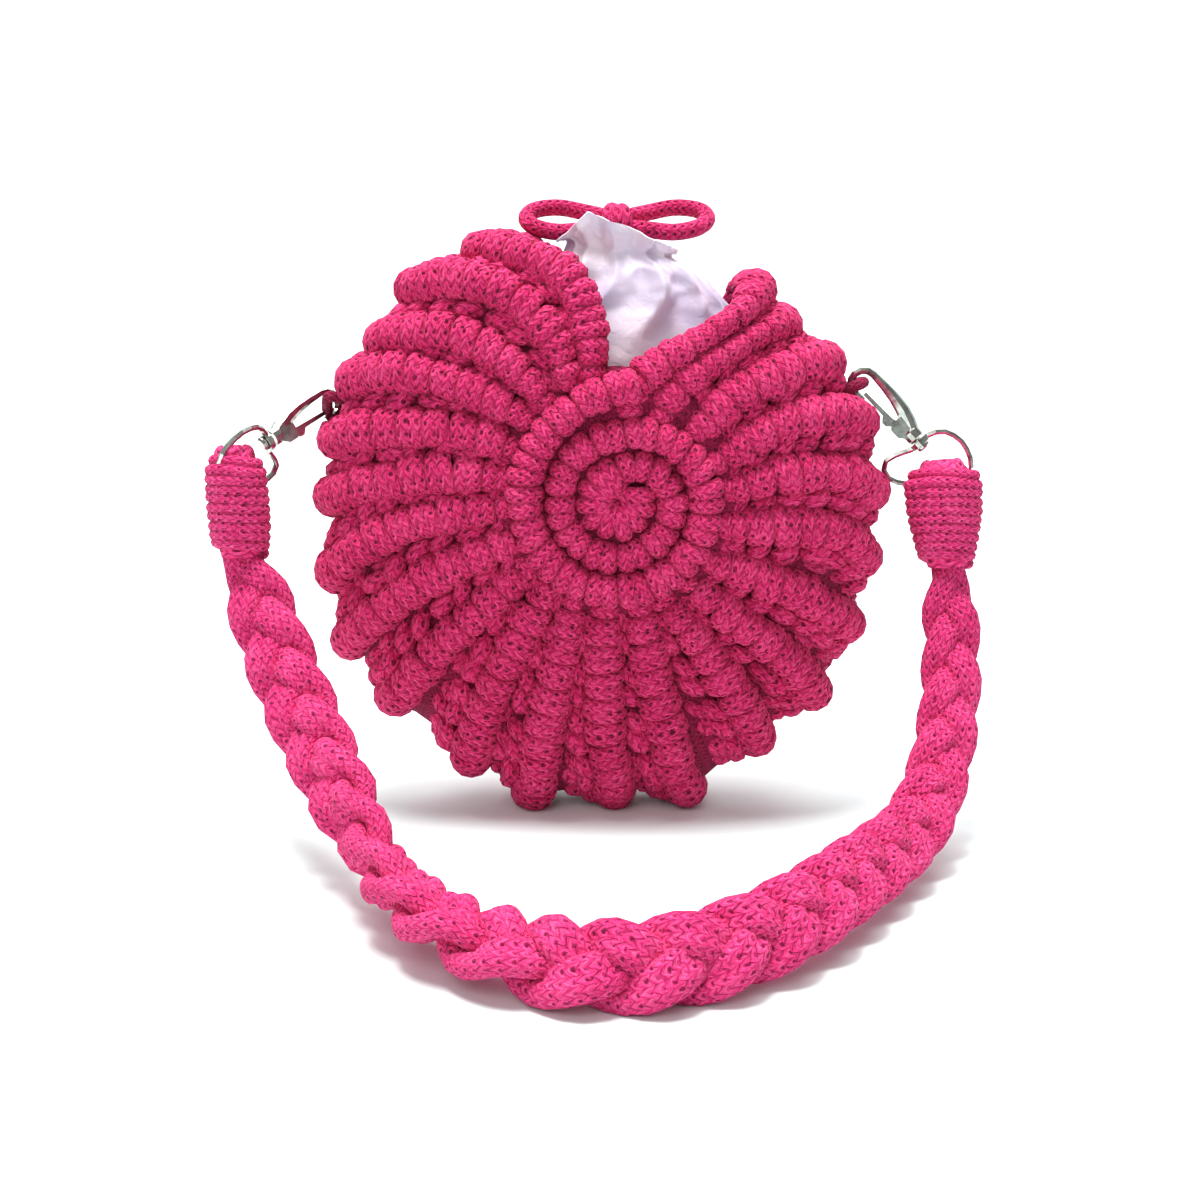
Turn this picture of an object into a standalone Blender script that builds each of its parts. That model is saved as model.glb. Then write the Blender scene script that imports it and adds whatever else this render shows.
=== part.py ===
# A small round shoulder bag of knotted cotton cord, shaped like a scallop shell, standing on its lowest ribs.
# 22 wrapped ribs fan out from a wound coil on the front and on the back, a side band carries them over the
# rim, a thin gathered lining stands out of the V at the top, and a flat three-strand braid hangs from two
# snap hooks and lies on the floor in front.
# Metres. +X is to the right as one faces the bag, -Y is its front, +Z is up. The origin lies on the floor,
# in the middle of the flat under the lowest rib.

import math
from collections import namedtuple

import bmesh
import bpy
from mathutils import Matrix, Vector
from mathutils.geometry import tessellate_polygon

GAP = 0.0003

# Shell of ribs
SHELL_RADIUS = 0.096
SHELL_DEPTH = 0.068
SHELL_SQUARENESS = 2.6
RIB_WIDTH = 0.0112
RIB_HEIGHT = 0.008
LINK_HEIGHT = 0.0036
VALLEY_WALL = 0.003
BAND_HALF_WIDTH = 0.0138
RESTING_FLAT = 0.0011

# Coil in the middle of each panel
COIL_RADIUS = 0.0345
COIL_THICKNESS = 0.010
COIL_PROUD = 0.0015
COIL_STEPS_PER_TURN = 14

# Cord loops on the rim that the snap hooks hold
RIM_LOOP_CORD = 0.0036
RIM_LOOP_SPAN = 0.0136

# Lining
LINING_WALL = 0.0012
LINING_DROP = 0.089
LINING_RISE = 0.086
LINING_HALF_WIDTH = 0.076
LINING_HALF_DEPTH = 0.0200
LINING_COLUMNS = 24
LINING_PUCKERS = 8

# Drawstring bow behind the lining's neck
BOW_CORD = 0.006
BOW_LOOP_LENGTH = 0.0268
BOW_LOOP_WIDTH = 0.0108
BOW_TAIL_LENGTH = 0.024
BOW_KNOT_HALF_WIDTH = 0.0062
BOW_HEIGHT_OVER_COIL = 0.0825
BOW_BACKSET = 0.0185
BOW_SIDE_SHIFT = 0.0003
BOW_TILT = math.radians(34)

# Snap hooks, with a gate lever on a pin and a swivel pin at the barrel's end
HOOK_WIRE = 0.0024
HOOK_CROWN = 0.0041
HOOK_BARREL_START = 0.0205
HOOK_BARREL_LENGTH = 0.0042
HOOK_BARREL_RADIUS = 0.0029
HOOK_CHEEK_HALF = 0.0024
GATE_THICKNESS = 0.0012
GATE_PIN_RADIUS = 0.0006
GATE_PIVOT = (0.0178, 0.0020)
GATE_TIP = 0.0026
SWIVEL_SHANK_RADIUS = 0.0011
SWIVEL_HEAD_RADIUS = 0.0023
SWIVEL_HEAD_THICKNESS = 0.0012

# Dee rings
RING_WIRE = 0.0019
RING_SIZE = 0.029
EYELET_RADIUS = 0.0033
EYELET_THICKNESS = 0.0018

# Whipped strap ends
END_LENGTH = 0.034
END_HALF_WIDTH = 0.0118
END_HALF_DEPTH = 0.0088
END_SIDES = 12

# Braided strap
STRAND_HALF_WIDTH = 0.0038
STRAND_HALF_THICKNESS = 0.0020
BRAID_SWING = 0.0074
BRAID_LIFT = -0.0043
BRAID_PERIODS = 8
BRAID_STEPS_PER_PERIOD = 8
BRAID_END_SHRINK = 0.22
STRAP_REACH = 0.163
STRAP_FLOOR_HEIGHT = 0.0102

# Directions along a rib are degrees clockwise from straight up, seen from the front.
# Reach is a share of SHELL_RADIUS, measured from the coil's middle.
Rib = namedtuple("Rib", "start middle tip reach")
RIBS = (
    Rib(8, 29, 35, 0.85),
    Rib(28, 37, 45.5, 0.82),
    Rib(50, 51, 59, 0.86),
    Rib(69, 66, 75, 0.89),
    Rib(85, 82.5, 91, 0.905),
    Rib(105, 99, 106, 0.92),
    Rib(124, 118, 121, 0.965),
    Rib(139, 134.5, 136, 1.025),
    Rib(153, 149, 151, 1.045),
    Rib(169, 168, 167, 1.13),
    Rib(186, 182.5, 180, 1.11),
    Rib(203, 197, 195, 1.15),
    Rib(217, 212.5, 208, 1.115),
    Rib(233, 230, 226, 1.10),
    Rib(249, 246, 240, 1.095),
    Rib(266, 262, 253, 1.045),
    Rib(282, 275.5, 268, 1.00),
    Rib(297, 289, 280, 0.995),
    Rib(311, 305, 292, 0.99),
    Rib(324, 318, 302, 0.965),
    Rib(337, 335, 315, 0.985),
    Rib(349, 349, 330, 0.945),
)
LOWEST_RIB = 10

# How far each row of a panel lies between the coil and the side band.
PANEL_ROWS = (0.0, 0.12, 0.37, 0.65, 0.86, 1.0)
PANEL_INNER_ROWS = (0.0, 0.65, 1.0)
BAND_ROWS = (-1.0, -0.43, 0.43, 1.0)
BAND_INNER_ROWS = (-1.0, 1.0)

# Inner and outer edge of the coil's ridge as shares of COIL_RADIUS, by turns clockwise from straight up.
CoilRow = namedtuple("CoilRow", "turn inner outer")
COIL_ROWS = (
    CoilRow(0.07, 0.02, 0.09),
    CoilRow(0.30, 0.02, 0.355),
    CoilRow(0.36, 0.02, 0.37),
    CoilRow(1.00, 0.02, 0.37),
    CoilRow(1.05, 0.12, 0.40),
    CoilRow(1.30, 0.39, 0.67),
    CoilRow(1.995, 0.39, 0.67),
    CoilRow(2.012, 0.39, 0.97),
    CoilRow(2.02, 0.39, 1.0),
    CoilRow(2.30, 0.69, 1.0),
    CoilRow(2.72, 0.69, 1.0),
    CoilRow(2.86, 0.70, 1.06),
    CoilRow(2.94, 0.71, 1.16),
    CoilRow(2.982, 0.72, 1.20),
)

# Lining sections from the bottom up. Height is a share of LINING_DROP below the coil's middle and of
# LINING_RISE above it; left, right and depth are shares of the half width and the half depth.
LiningRow = namedtuple("LiningRow", "height left right depth back pucker lean")
LINING_ROWS = (
    LiningRow(-1.00, -0.16, 0.16, 0.22, 0.0, 0.0, 0.0),
    LiningRow(-0.80, -0.66, 0.56, 0.66, 0.0, 0.0, 0.0),
    LiningRow(-0.40, -0.96, 0.84, 0.94, 0.0, 0.0, 0.0),
    LiningRow(0.00, -1.02, 0.90, 1.00, 0.0, 0.0, 0.0),
    LiningRow(0.34, -0.96, 0.78, 0.95, 0.0, 0.0, 0.0),
    LiningRow(0.56, -0.74, 0.563, 0.80, 0.0, 0.01, 0.0),
    LiningRow(0.70, -0.36, 0.432, 0.62, 0.0, 0.05, 0.0),
    LiningRow(0.80, -0.24, 0.33, 0.52, 0.0, 0.09, -0.10),
    LiningRow(0.87, -0.18, 0.22, 0.38, 0.0, 0.12, -0.25),
    LiningRow(0.91, -0.22, 0.22, 0.40, 0.0, 0.07, -0.35),
    LiningRow(0.95, -0.22, 0.20, 0.38, 0.0, 0.03, -0.40),
)

# Middle line of the strap from the right end to the left end: side is a share of half the span between
# the two strap ends, forward of STRAP_REACH, rise of the ends' height; face is how far the braid's broad
# face looks up, in degrees.
StrapRow = namedtuple("StrapRow", "side forward rise face")
STRAP_ROWS = (
    StrapRow(1.000, 0.000, 1.000, 0),
    StrapRow(1.002, 0.052, 0.752, 2),
    StrapRow(0.981, 0.151, 0.445, 6),
    StrapRow(0.921, 0.273, 0.201, 12),
    StrapRow(0.832, 0.409, 0.080, 17),
    StrapRow(0.719, 0.550, 0.061, 21),
    StrapRow(0.601, 0.687, 0.066, 24),
    StrapRow(0.482, 0.810, 0.056, 27),
    StrapRow(0.343, 0.911, 0.034, 29),
    StrapRow(0.165, 0.980, 0.009, 30),
    StrapRow(0.002, 0.992, 0.000, 30),
    StrapRow(-0.157, 0.951, 0.004, 32),
    StrapRow(-0.322, 0.863, 0.026, 38),
    StrapRow(-0.444, 0.746, 0.047, 48),
    StrapRow(-0.537, 0.608, 0.087, 58),
    StrapRow(-0.638, 0.459, 0.190, 52),
    StrapRow(-0.742, 0.309, 0.343, 34),
    StrapRow(-0.841, 0.172, 0.536, 16),
    StrapRow(-0.936, 0.060, 0.789, 6),
    StrapRow(-1.000, 0.000, 1.000, 0),
)

# One row for each snap hook: the rib whose clockwise side carries it, how deep its cord loop is sunk under
# the rim, the way its barrel points and the way its gate faces, the dee ring's own two directions, its
# strap end's top and bottom, seen from the middle of the ring's straight bar, and that end's width share.
HookRow = namedtuple("HookRow", "name rib sunk barrel gate across down end_top end_bottom width")
HOOK_ROWS = (
    HookRow("left", 17, -0.0002, (-0.64, -0.66, -0.39), (0.35, -0.10, -0.90), (-0.406, -0.859, 0.305),
            (-0.500, -0.070, -0.863), (-0.0005, -0.0045, 0.0108), (0.0010, -0.0055, -0.0232), 0.84),
    HookRow("right", 2, -0.0009, (0.69, -0.12, -0.715), (-0.71, 0.05, -0.70), (1.0, 0.0, 0.0),
            (0.0, 0.0, -1.0), (0.0035, -0.002, 0.0085), (0.0060, -0.005, -0.0240), 0.96),
)

# Outline of a dee ring from the eyelet round to the eyelet, as shares of RING_SIZE across and down.
RING_OUTLINE = (
    (0.075, -0.075),
    (0.245, -0.125),
    (0.440, -0.030),
    (0.560, 0.170),
    (0.560, 0.360),
    (0.450, 0.490),
    (0.240, 0.490),
    (0.000, 0.465),
    (-0.230, 0.440),
    (-0.350, 0.370),
    (-0.385, 0.240),
    (-0.280, 0.150),
    (-0.075, 0.075),
)

# Cross-section of the strap ends, from top to bottom, as shares of the half width and half depth.
END_ROWS = (
    (0.00, 0.42, 0.45),
    (0.07, 0.70, 0.75),
    (0.22, 1.00, 1.00),
    (0.50, 0.98, 1.00),
    (0.78, 0.93, 0.96),
    (1.00, 0.86, 0.88),
)

PINK = (0.80, 0.045, 0.20, 1.0)
PINK_STRAP = (0.90, 0.07, 0.28, 1.0)
WHITE = (0.86, 0.80, 0.88, 1.0)
NICKEL = (0.72, 0.70, 0.66, 1.0)

HALF_DEPTH = SHELL_DEPTH / 2
COIL_HEIGHT = RIBS[LOWEST_RIB].reach * SHELL_RADIUS - RESTING_FLAT
SHELL_WALL = RIB_HEIGHT + VALLEY_WALL


# Scene and object helpers
def clear_scene():
    for old in list(bpy.data.objects):
        bpy.data.objects.remove(old)


def make_material(name, colour, roughness, metallic):
    material = bpy.data.materials.new(name)
    material.use_nodes = True
    shader = material.node_tree.nodes["Principled BSDF"]
    shader.inputs["Base Color"].default_value = colour
    shader.inputs["Roughness"].default_value = roughness
    shader.inputs["Metallic"].default_value = metallic
    return material


def add_object(name, mesh, material, collection):
    made = bpy.data.objects.new(name, mesh)
    mesh.materials.clear()
    mesh.materials.append(material)
    collection.objects.link(made)
    return made


def evaluated_mesh(source, weld):
    graph = bpy.context.evaluated_depsgraph_get()
    mesh = bpy.data.meshes.new_from_object(source.evaluated_get(graph))
    mesh.transform(source.matrix_world)
    shape = bmesh.new()
    shape.from_mesh(mesh)
    bmesh.ops.remove_doubles(shape, verts=shape.verts, dist=weld)
    shape.to_mesh(mesh)
    shape.free()
    return mesh


def finish_mesh(source, material, collection, weld=1e-6):
    # Keeps the evaluated shape of a working object under the same name.
    name = source.name
    mesh = evaluated_mesh(source, weld)
    bpy.data.objects.remove(source)
    made = add_object(name, mesh, material, collection)
    made.data.shade_smooth()
    made.data.set_sharp_from_angle(angle=math.radians(40))
    return made


def combine(target, other, operation, material, collection):
    cut = target.modifiers.new(operation.lower(), "BOOLEAN")
    cut.operation = operation
    cut.object = other
    bpy.context.view_layer.update()
    made = finish_mesh(target, material, collection)
    bpy.data.objects.remove(other)
    return made


# Lofted solids
def loft(name, sections, material, collection):
    # Skins closed loops with equal numbers of points and caps the first and the last one.
    shape = bmesh.new()
    rings = [[shape.verts.new(point) for point in section] for section in sections]
    count = len(rings[0])
    for first, second in zip(rings, rings[1:]):
        for i in range(count):
            j = (i + 1) % count
            shape.faces.new((first[i], first[j], second[j], second[i]))
    for ring in (rings[0], rings[-1]):
        for corners in tessellate_polygon([[vert.co for vert in ring]]):
            shape.faces.new([ring[corner] for corner in corners])
    bmesh.ops.recalc_face_normals(shape, faces=shape.faces)
    mesh = bpy.data.meshes.new(name)
    shape.to_mesh(mesh)
    shape.free()
    mesh.shade_smooth()
    mesh.set_sharp_from_angle(angle=math.radians(50))
    return add_object(name, mesh, material, collection)


def tube(name, points, radii, sides, material, collection, closed=False):
    # A bevelled wire along the points; radii may be one number or one for each point.
    wire = bpy.data.curves.new(name, "CURVE")
    wire.dimensions = "3D"
    wire.fill_mode = "FULL"
    wire.bevel_depth = 1.0
    wire.bevel_resolution = sides // 2 - 2
    wire.use_fill_caps = not closed
    wire.twist_mode = "MINIMUM"
    spline = wire.splines.new("POLY")
    spline.points.add(len(points) - 1)
    spline.use_cyclic_u = closed
    for i, point in enumerate(points):
        spline.points[i].co = (*point, 1.0)
        spline.points[i].radius = radii[i] if isinstance(radii, (list, tuple)) else radii
    holder = bpy.data.objects.new(name, wire)
    collection.objects.link(holder)
    bpy.context.view_layer.update()
    made = finish_mesh(holder, material, collection)
    bpy.data.curves.remove(wire)
    return made


def turned(name, profile, steps, place, material, collection):
    # Spins a profile of (radius, height) pairs, listed from the top down, round local Z.
    mesh = bpy.data.meshes.new(name)
    points = [(radius, 0.0, height) for radius, height in profile]
    mesh.from_pydata(points, [(i, i + 1) for i in range(len(points) - 1)], [])
    holder = bpy.data.objects.new(name, mesh)
    holder.matrix_world = place
    collection.objects.link(holder)
    spin = holder.modifiers.new("spin", "SCREW")
    spin.steps = steps
    spin.render_steps = steps
    spin.use_merge_vertices = True
    spin.merge_threshold = 1e-6
    bpy.context.view_layer.update()
    return finish_mesh(holder, material, collection)


def plate(name, outline, thickness, place, material, collection):
    # A flat closed outline in the local XY plane with half its thickness on each side.
    shape = bmesh.new()
    low = [shape.verts.new((x, y, -thickness / 2)) for x, y in outline]
    face = shape.faces.new(low)
    raised = bmesh.ops.extrude_face_region(shape, geom=[face])["geom"]
    lifted = [item for item in raised if isinstance(item, bmesh.types.BMVert)]
    bmesh.ops.translate(shape, verts=lifted, vec=(0.0, 0.0, thickness))
    bmesh.ops.recalc_face_normals(shape, faces=shape.faces)
    shape.transform(place)
    mesh = bpy.data.meshes.new(name)
    shape.to_mesh(mesh)
    shape.free()
    return add_object(name, mesh, material, collection)


# Small maths
def lerp(first, second, share):
    return first + (second - first) * share


def table_value(rows, key, field, at):
    # Straight-line reading of one column of a table whose key column rises.
    last = len(rows) - 1
    for i in range(last):
        low, high = getattr(rows[i], key), getattr(rows[i + 1], key)
        if at <= high or i == last - 1:
            share = min(max((at - low) / (high - low), 0.0), 1.0)
            return lerp(getattr(rows[i], field), getattr(rows[i + 1], field), share)


def smooth_path(points, samples):
    # Evenly spaced points on a Catmull-Rom curve through the given ones.
    padded = [points[0] * 2 - points[1], *points, points[-1] * 2 - points[-2]]
    dense = []
    for i in range(1, len(padded) - 2):
        p0, p1, p2, p3 = padded[i - 1:i + 3]
        for step in range(12):
            t = step / 12
            dense.append(0.5 * ((2 * p1) + (p2 - p0) * t + (2 * p0 - 5 * p1 + 4 * p2 - p3) * t ** 2
                                + (3 * p1 - p0 - 3 * p2 + p3) * t ** 3))
    dense.append(points[-1].copy())
    return resample(dense, samples)


def resample(dense, samples):
    lengths = [0.0]
    for first, second in zip(dense, dense[1:]):
        lengths.append(lengths[-1] + (second - first).length)
    even = []
    at = 0
    for i in range(samples):
        goal = lengths[-1] * i / (samples - 1)
        while at < len(dense) - 2 and lengths[at + 1] < goal:
            at += 1
        span = max(lengths[at + 1] - lengths[at], 1e-9)
        even.append(dense[at].lerp(dense[at + 1], min((goal - lengths[at]) / span, 1.0)))
    return even


def frame_matrix(origin, x_axis, y_axis):
    # Right-handed place whose X is kept, and whose Y is squared up to it.
    x = Vector(x_axis).normalized()
    z = x.cross(Vector(y_axis)).normalized()
    y = z.cross(x)
    rotation = Matrix((x, y, z)).transposed().to_4x4()
    return Matrix.Translation(origin) @ rotation


# Shell of ribs
def shell_place(angle, radius, y):
    turn = math.radians(angle)
    return Vector((radius * math.sin(turn), y, COIL_HEIGHT + radius * math.cos(turn)))


def coil_edge(angle):
    # Where the panel starts: just outside the coil's last turn, which ends short of straight up.
    turn = max(2.0 + angle / 360.0, 2.02)
    return COIL_RADIUS * table_value(COIL_ROWS, "turn", "outer", turn) + 2 * GAP


def rib_angle(index, share):
    # A smooth bend through the rib's start, middle and tip.
    rib = RIBS[index]
    middle_weight = 4 * share * (1 - share)
    tip_weight = share * (2 * share - 1)
    return rib.start * (1 - middle_weight - tip_weight) + rib.middle * middle_weight + rib.tip * tip_weight


def profile_radius(y_share):
    return (1 - abs(y_share) ** SHELL_SQUARENESS) ** (1 / SHELL_SQUARENESS)


def profile_normal(radius_share, y_share, reach, side):
    radial = radius_share ** (SHELL_SQUARENESS - 1) / reach
    deep = abs(y_share) ** (SHELL_SQUARENESS - 1) / HALF_DEPTH
    length = math.hypot(radial, deep)
    return radial / length, side * deep / length


def rib_columns():
    # Columns across the fan: rib index, kind of column and depth under the crest. A row of linking loops
    # lies on each rib's clockwise side, but not in the two valleys that a hook reaches into.
    columns = []
    for index in range(len(RIBS)):
        columns.append((index, "foot", RIB_HEIGHT))
        columns.append((index, "crest_before", 0.0))
        columns.append((index, "crest_after", 0.0))
        if index == len(RIBS) - 1:
            columns.append((index, "end_foot", RIB_HEIGHT))
        elif index in [row.rib for row in HOOK_ROWS]:
            columns.append((index, "link", RIB_HEIGHT))
        else:
            columns.append((index, "link", RIB_HEIGHT - LINK_HEIGHT))
    return columns


def column_angle(index, kind, share, radius):
    here = rib_angle(index, share)
    before = rib_angle(index - 1, share) if index > 0 else here - 360.0
    after = rib_angle(index + 1, share) if index < len(RIBS) - 1 else here + 360.0
    pitch_before = math.radians(here - before) * radius
    pitch_after = math.radians(after - here) * radius
    foot = min(RIB_WIDTH / 2, 0.36 * pitch_before)
    crest = min(RIB_WIDTH / 4, 0.2 * min(pitch_before, pitch_after))
    next_foot = pitch_after - min(RIB_WIDTH / 2, 0.36 * pitch_after)
    offset = {
        "foot": -foot,
        "crest_before": -crest,
        "crest_after": crest,
        "link": lerp(crest, next_foot, 0.42),
        "end_foot": RIB_WIDTH / 2,
    }[kind]
    return here + math.degrees(offset / radius)


def column_reach(index, angle):
    # The outline's reach between two rib tips.
    rib = RIBS[index]
    if angle >= rib.tip and index < len(RIBS) - 1:
        other = RIBS[index + 1]
    elif angle < rib.tip and index > 0:
        other = RIBS[index - 1]
    else:
        return rib.reach * SHELL_RADIUS
    share = abs(angle - rib.tip) / abs(other.tip - rib.tip)
    return lerp(rib.reach, other.reach, min(share, 1.0)) * SHELL_RADIUS


def skin_pair(angle, radius, y, normal, depth):
    # The outer and the inner point of the wall at one place, flattened on the floor.
    radial, deep = normal
    outer = shell_place(angle, radius - radial * depth, y - deep * depth)
    inner = shell_place(angle, radius - radial * SHELL_WALL, y - deep * SHELL_WALL)
    outer.z = max(outer.z, 0.0)
    inner.z = max(inner.z, VALLEY_WALL)
    return outer, inner


def panel_section(column, side):
    index, kind, depth = column
    start_angle = column_angle(index, kind, 0.0, COIL_RADIUS)
    start = coil_edge(start_angle)
    tip_angle = column_angle(index, kind, 1.0, RIBS[index].reach * SHELL_RADIUS)
    reach = column_reach(index, tip_angle)
    edge = reach * profile_radius(BAND_HALF_WIDTH / HALF_DEPTH)
    outers, inners = [], []
    for row in PANEL_ROWS:
        radius = lerp(start, edge, row)
        along = (radius - start) / (reach - start)
        angle = column_angle(index, kind, along, radius)
        radius_share = radius / reach
        y_share = profile_radius(radius_share)
        normal = profile_normal(radius_share, y_share, reach, side)
        if row == 0.0:
            normal = (0.0, side)
        outer, inner = skin_pair(angle, radius, side * y_share * HALF_DEPTH, normal, depth)
        if row == 1.0:
            outer.y += side * 2 * GAP
            inner.y += side * 2 * GAP
        outers.append(outer)
        if row in PANEL_INNER_ROWS:
            inners.append(inner)
    return outers + inners[::-1]


def band_section(column):
    index, kind, depth = column
    tip_angle = column_angle(index, kind, 1.0, RIBS[index].reach * SHELL_RADIUS)
    reach = column_reach(index, tip_angle)
    outers, inners = [], []
    for row in BAND_ROWS:
        y = row * BAND_HALF_WIDTH
        y_share = y / HALF_DEPTH
        radius_share = profile_radius(y_share)
        radius = reach * radius_share
        start = coil_edge(column_angle(index, kind, 0.0, COIL_RADIUS))
        angle = column_angle(index, kind, (radius - start) / (reach - start), radius)
        normal = profile_normal(radius_share, y_share, reach, math.copysign(1.0, row))
        outer, inner = skin_pair(angle, radius, y, normal, depth)
        outers.append(outer)
        if row in BAND_INNER_ROWS:
            inners.append(inner)
    return outers + inners[::-1]


def rim_gap(row):
    # Direction and reach of the valley on the clockwise side of a hook's rib, at the rim.
    first, second = RIBS[row.rib], RIBS[row.rib + 1]
    return (first.tip + second.tip) / 2, (first.reach + second.reach) / 2 * SHELL_RADIUS


def rim_loop_centre(row):
    angle, reach = rim_gap(row)
    return shell_place(angle, reach - row.sunk, 0.0)


def hook_normal(row):
    return Vector(row.barrel).cross(Vector(row.gate)).normalized()


def rim_loop_span(row):
    outward = shell_place(rim_gap(row)[0], 1.0, 0.0) - shell_place(0.0, 0.0, 0.0)
    normal = hook_normal(row)
    return (normal - outward * normal.dot(outward)).normalized()


def rim_loop_points(row):
    # The loop stands across the hook's own plane, as far as a loop square to the rim can.
    angle, reach = rim_gap(row)
    root = reach - RIB_HEIGHT - VALLEY_WALL / 2
    crown = reach - row.sunk
    half = RIM_LOOP_SPAN / 2
    profile = (
        (-half, root),
        (-half, lerp(root, crown, 0.66)),
        (-0.93 * half, lerp(root, crown, 0.86)),
        (-0.68 * half, lerp(root, crown, 0.98)),
        (0.0, crown),
        (0.68 * half, lerp(root, crown, 0.98)),
        (0.93 * half, lerp(root, crown, 0.86)),
        (half, lerp(root, crown, 0.66)),
        (half, root),
    )
    span = rim_loop_span(row)
    return [shell_place(angle, radius, 0.0) + span * along for along, radius in profile]


def make_shell(material, parts, tools):
    for name, side in (("front_panel", -1.0), ("back_panel", 1.0)):
        loft(name, [panel_section(column, side) for column in rib_columns()], material, parts)
    band = loft("side_band", [band_section(column) for column in rib_columns()], material, tools)
    for row in HOOK_ROWS:
        loop = tube("rim_loop", rim_loop_points(row), RIM_LOOP_CORD / 2, 8, material, tools)
        band = combine(band, loop, "UNION", material, tools)
    tools.objects.unlink(band)
    parts.objects.link(band)


def coil_section(turn, side):
    inner = COIL_RADIUS * table_value(COIL_ROWS, "turn", "inner", turn)
    outer = COIL_RADIUS * table_value(COIL_ROWS, "turn", "outer", turn)
    width = outer - inner - GAP
    shoulder = min(0.22 * width, 0.25 * COIL_THICKNESS)
    front = HALF_DEPTH + COIL_PROUD
    outline = (
        (inner, front - 0.42 * COIL_THICKNESS),
        (inner + shoulder, front),
        (inner + width - shoulder, front),
        (inner + width, front - 0.42 * COIL_THICKNESS),
        (inner + width - shoulder, front - COIL_THICKNESS),
        (inner + shoulder, front - COIL_THICKNESS),
    )
    return [shell_place(turn * 360.0, radius, side * y) for radius, y in outline]


def make_coils(material, parts):
    first, last = COIL_ROWS[0].turn, COIL_ROWS[-1].turn
    steps = range(math.ceil(first * COIL_STEPS_PER_TURN), math.ceil(last * COIL_STEPS_PER_TURN))
    turns = sorted({step / COIL_STEPS_PER_TURN for step in steps} | {1.995, 2.012, first, last})
    for name, side in (("front_coil", -1.0), ("back_coil", 1.0)):
        loft(name, [coil_section(turn, side) for turn in turns], material, parts)


# Lining
def lining_loop(row, inset):
    span = LINING_DROP if row.height < 0 else LINING_RISE
    z = COIL_HEIGHT + row.height * span
    left, right = row.left * LINING_HALF_WIDTH, row.right * LINING_HALF_WIDTH
    middle, half = (left + right) / 2, (right - left) / 2
    depth = row.depth * LINING_HALF_DEPTH
    loop = []
    for i in range(LINING_COLUMNS):
        turn = 2 * math.pi * i / LINING_COLUMNS
        ripple = 1 + row.pucker * math.cos(LINING_PUCKERS * turn)
        x = middle + (half - inset) * ripple * math.cos(turn)
        y = row.back * LINING_HALF_DEPTH + (depth - inset) * ripple * math.sin(turn)
        loop.append(Vector((x, y, z + row.lean * (x - middle))))
    return loop


def make_lining(material, parts):
    outer = [lining_loop(row, 0.0) for row in LINING_ROWS]
    inner = [lining_loop(row, LINING_WALL) for row in LINING_ROWS]
    for point in inner[0]:
        point.z += LINING_WALL
    loft("lining", outer + inner[::-1], material, parts)


# Drawstring bow
def bow_centre():
    return Vector((BOW_SIDE_SHIFT, BOW_BACKSET, COIL_HEIGHT + BOW_HEIGHT_OVER_COIL))


def bow_loop_points(side):
    # A long drop lying almost flat, leaving the knot at one side and coming back to it.
    centre = bow_centre()
    start = BOW_KNOT_HALF_WIDTH + GAP
    mouth = BOW_CORD / 2 + GAP
    middle = BOW_LOOP_WIDTH / 2
    ways = [
        (start, -mouth),
        (start + 0.20 * BOW_LOOP_LENGTH, -0.80 * middle),
        (start + 0.50 * BOW_LOOP_LENGTH, -1.10 * middle),
        (start + 0.78 * BOW_LOOP_LENGTH, -0.78 * middle),
        (start + 0.89 * BOW_LOOP_LENGTH, 0.0),
        (start + 0.78 * BOW_LOOP_LENGTH, 0.78 * middle),
        (start + 0.50 * BOW_LOOP_LENGTH, 1.10 * middle),
        (start + 0.20 * BOW_LOOP_LENGTH, 0.80 * middle),
        (start, mouth),
    ]
    points = []
    for out, back in ways:
        rise = back * math.sin(BOW_TILT) + 0.05 * out
        points.append(centre + Vector((side * out, back * math.cos(BOW_TILT), rise)))
    return points


def bow_tail_points(side):
    # Two short tails side by side, straight back out of the knot and then down behind the lining.
    centre = bow_centre()
    start = BOW_KNOT_HALF_WIDTH + GAP
    beside = BOW_CORD / 2 + 2 * GAP
    shares = ((0.0, 0.0, 0.0), (0.01, 0.12, -0.02), (0.02, 0.24, -0.14), (0.05, 0.30, -0.40),
              (0.12, 0.30, -0.66), (0.20, 0.28, -0.88))
    points = []
    for out, back, down in shares:
        points.append(centre + Vector((side * (beside + out * BOW_TAIL_LENGTH),
                                       start + back * BOW_TAIL_LENGTH, down * BOW_TAIL_LENGTH)))
    return points


def make_bow(material, parts):
    centre = bow_centre()
    knot = BOW_KNOT_HALF_WIDTH
    rows = ((-1.0, 0.55), (-0.6, 0.95), (0.0, 1.0), (0.6, 0.95), (1.0, 0.55))
    sections = []
    for along, size in rows:
        ring = []
        for i in range(10):
            turn = 2 * math.pi * i / 10
            ring.append(centre + Vector((along * knot, size * knot * math.cos(turn),
                                         size * knot * 0.92 * math.sin(turn))))
        sections.append(ring)
    loft("bow_knot", sections, material, parts)
    for name, side in (("left", -1.0), ("right", 1.0)):
        loop = smooth_path(bow_loop_points(side), 15)
        tube("bow_loop_" + name, loop, BOW_CORD / 2, 8, material, parts)
        tail = smooth_path(bow_tail_points(side), 8)
        tube("bow_tail_" + name, tail, BOW_CORD / 2, 8, material, parts)


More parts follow.
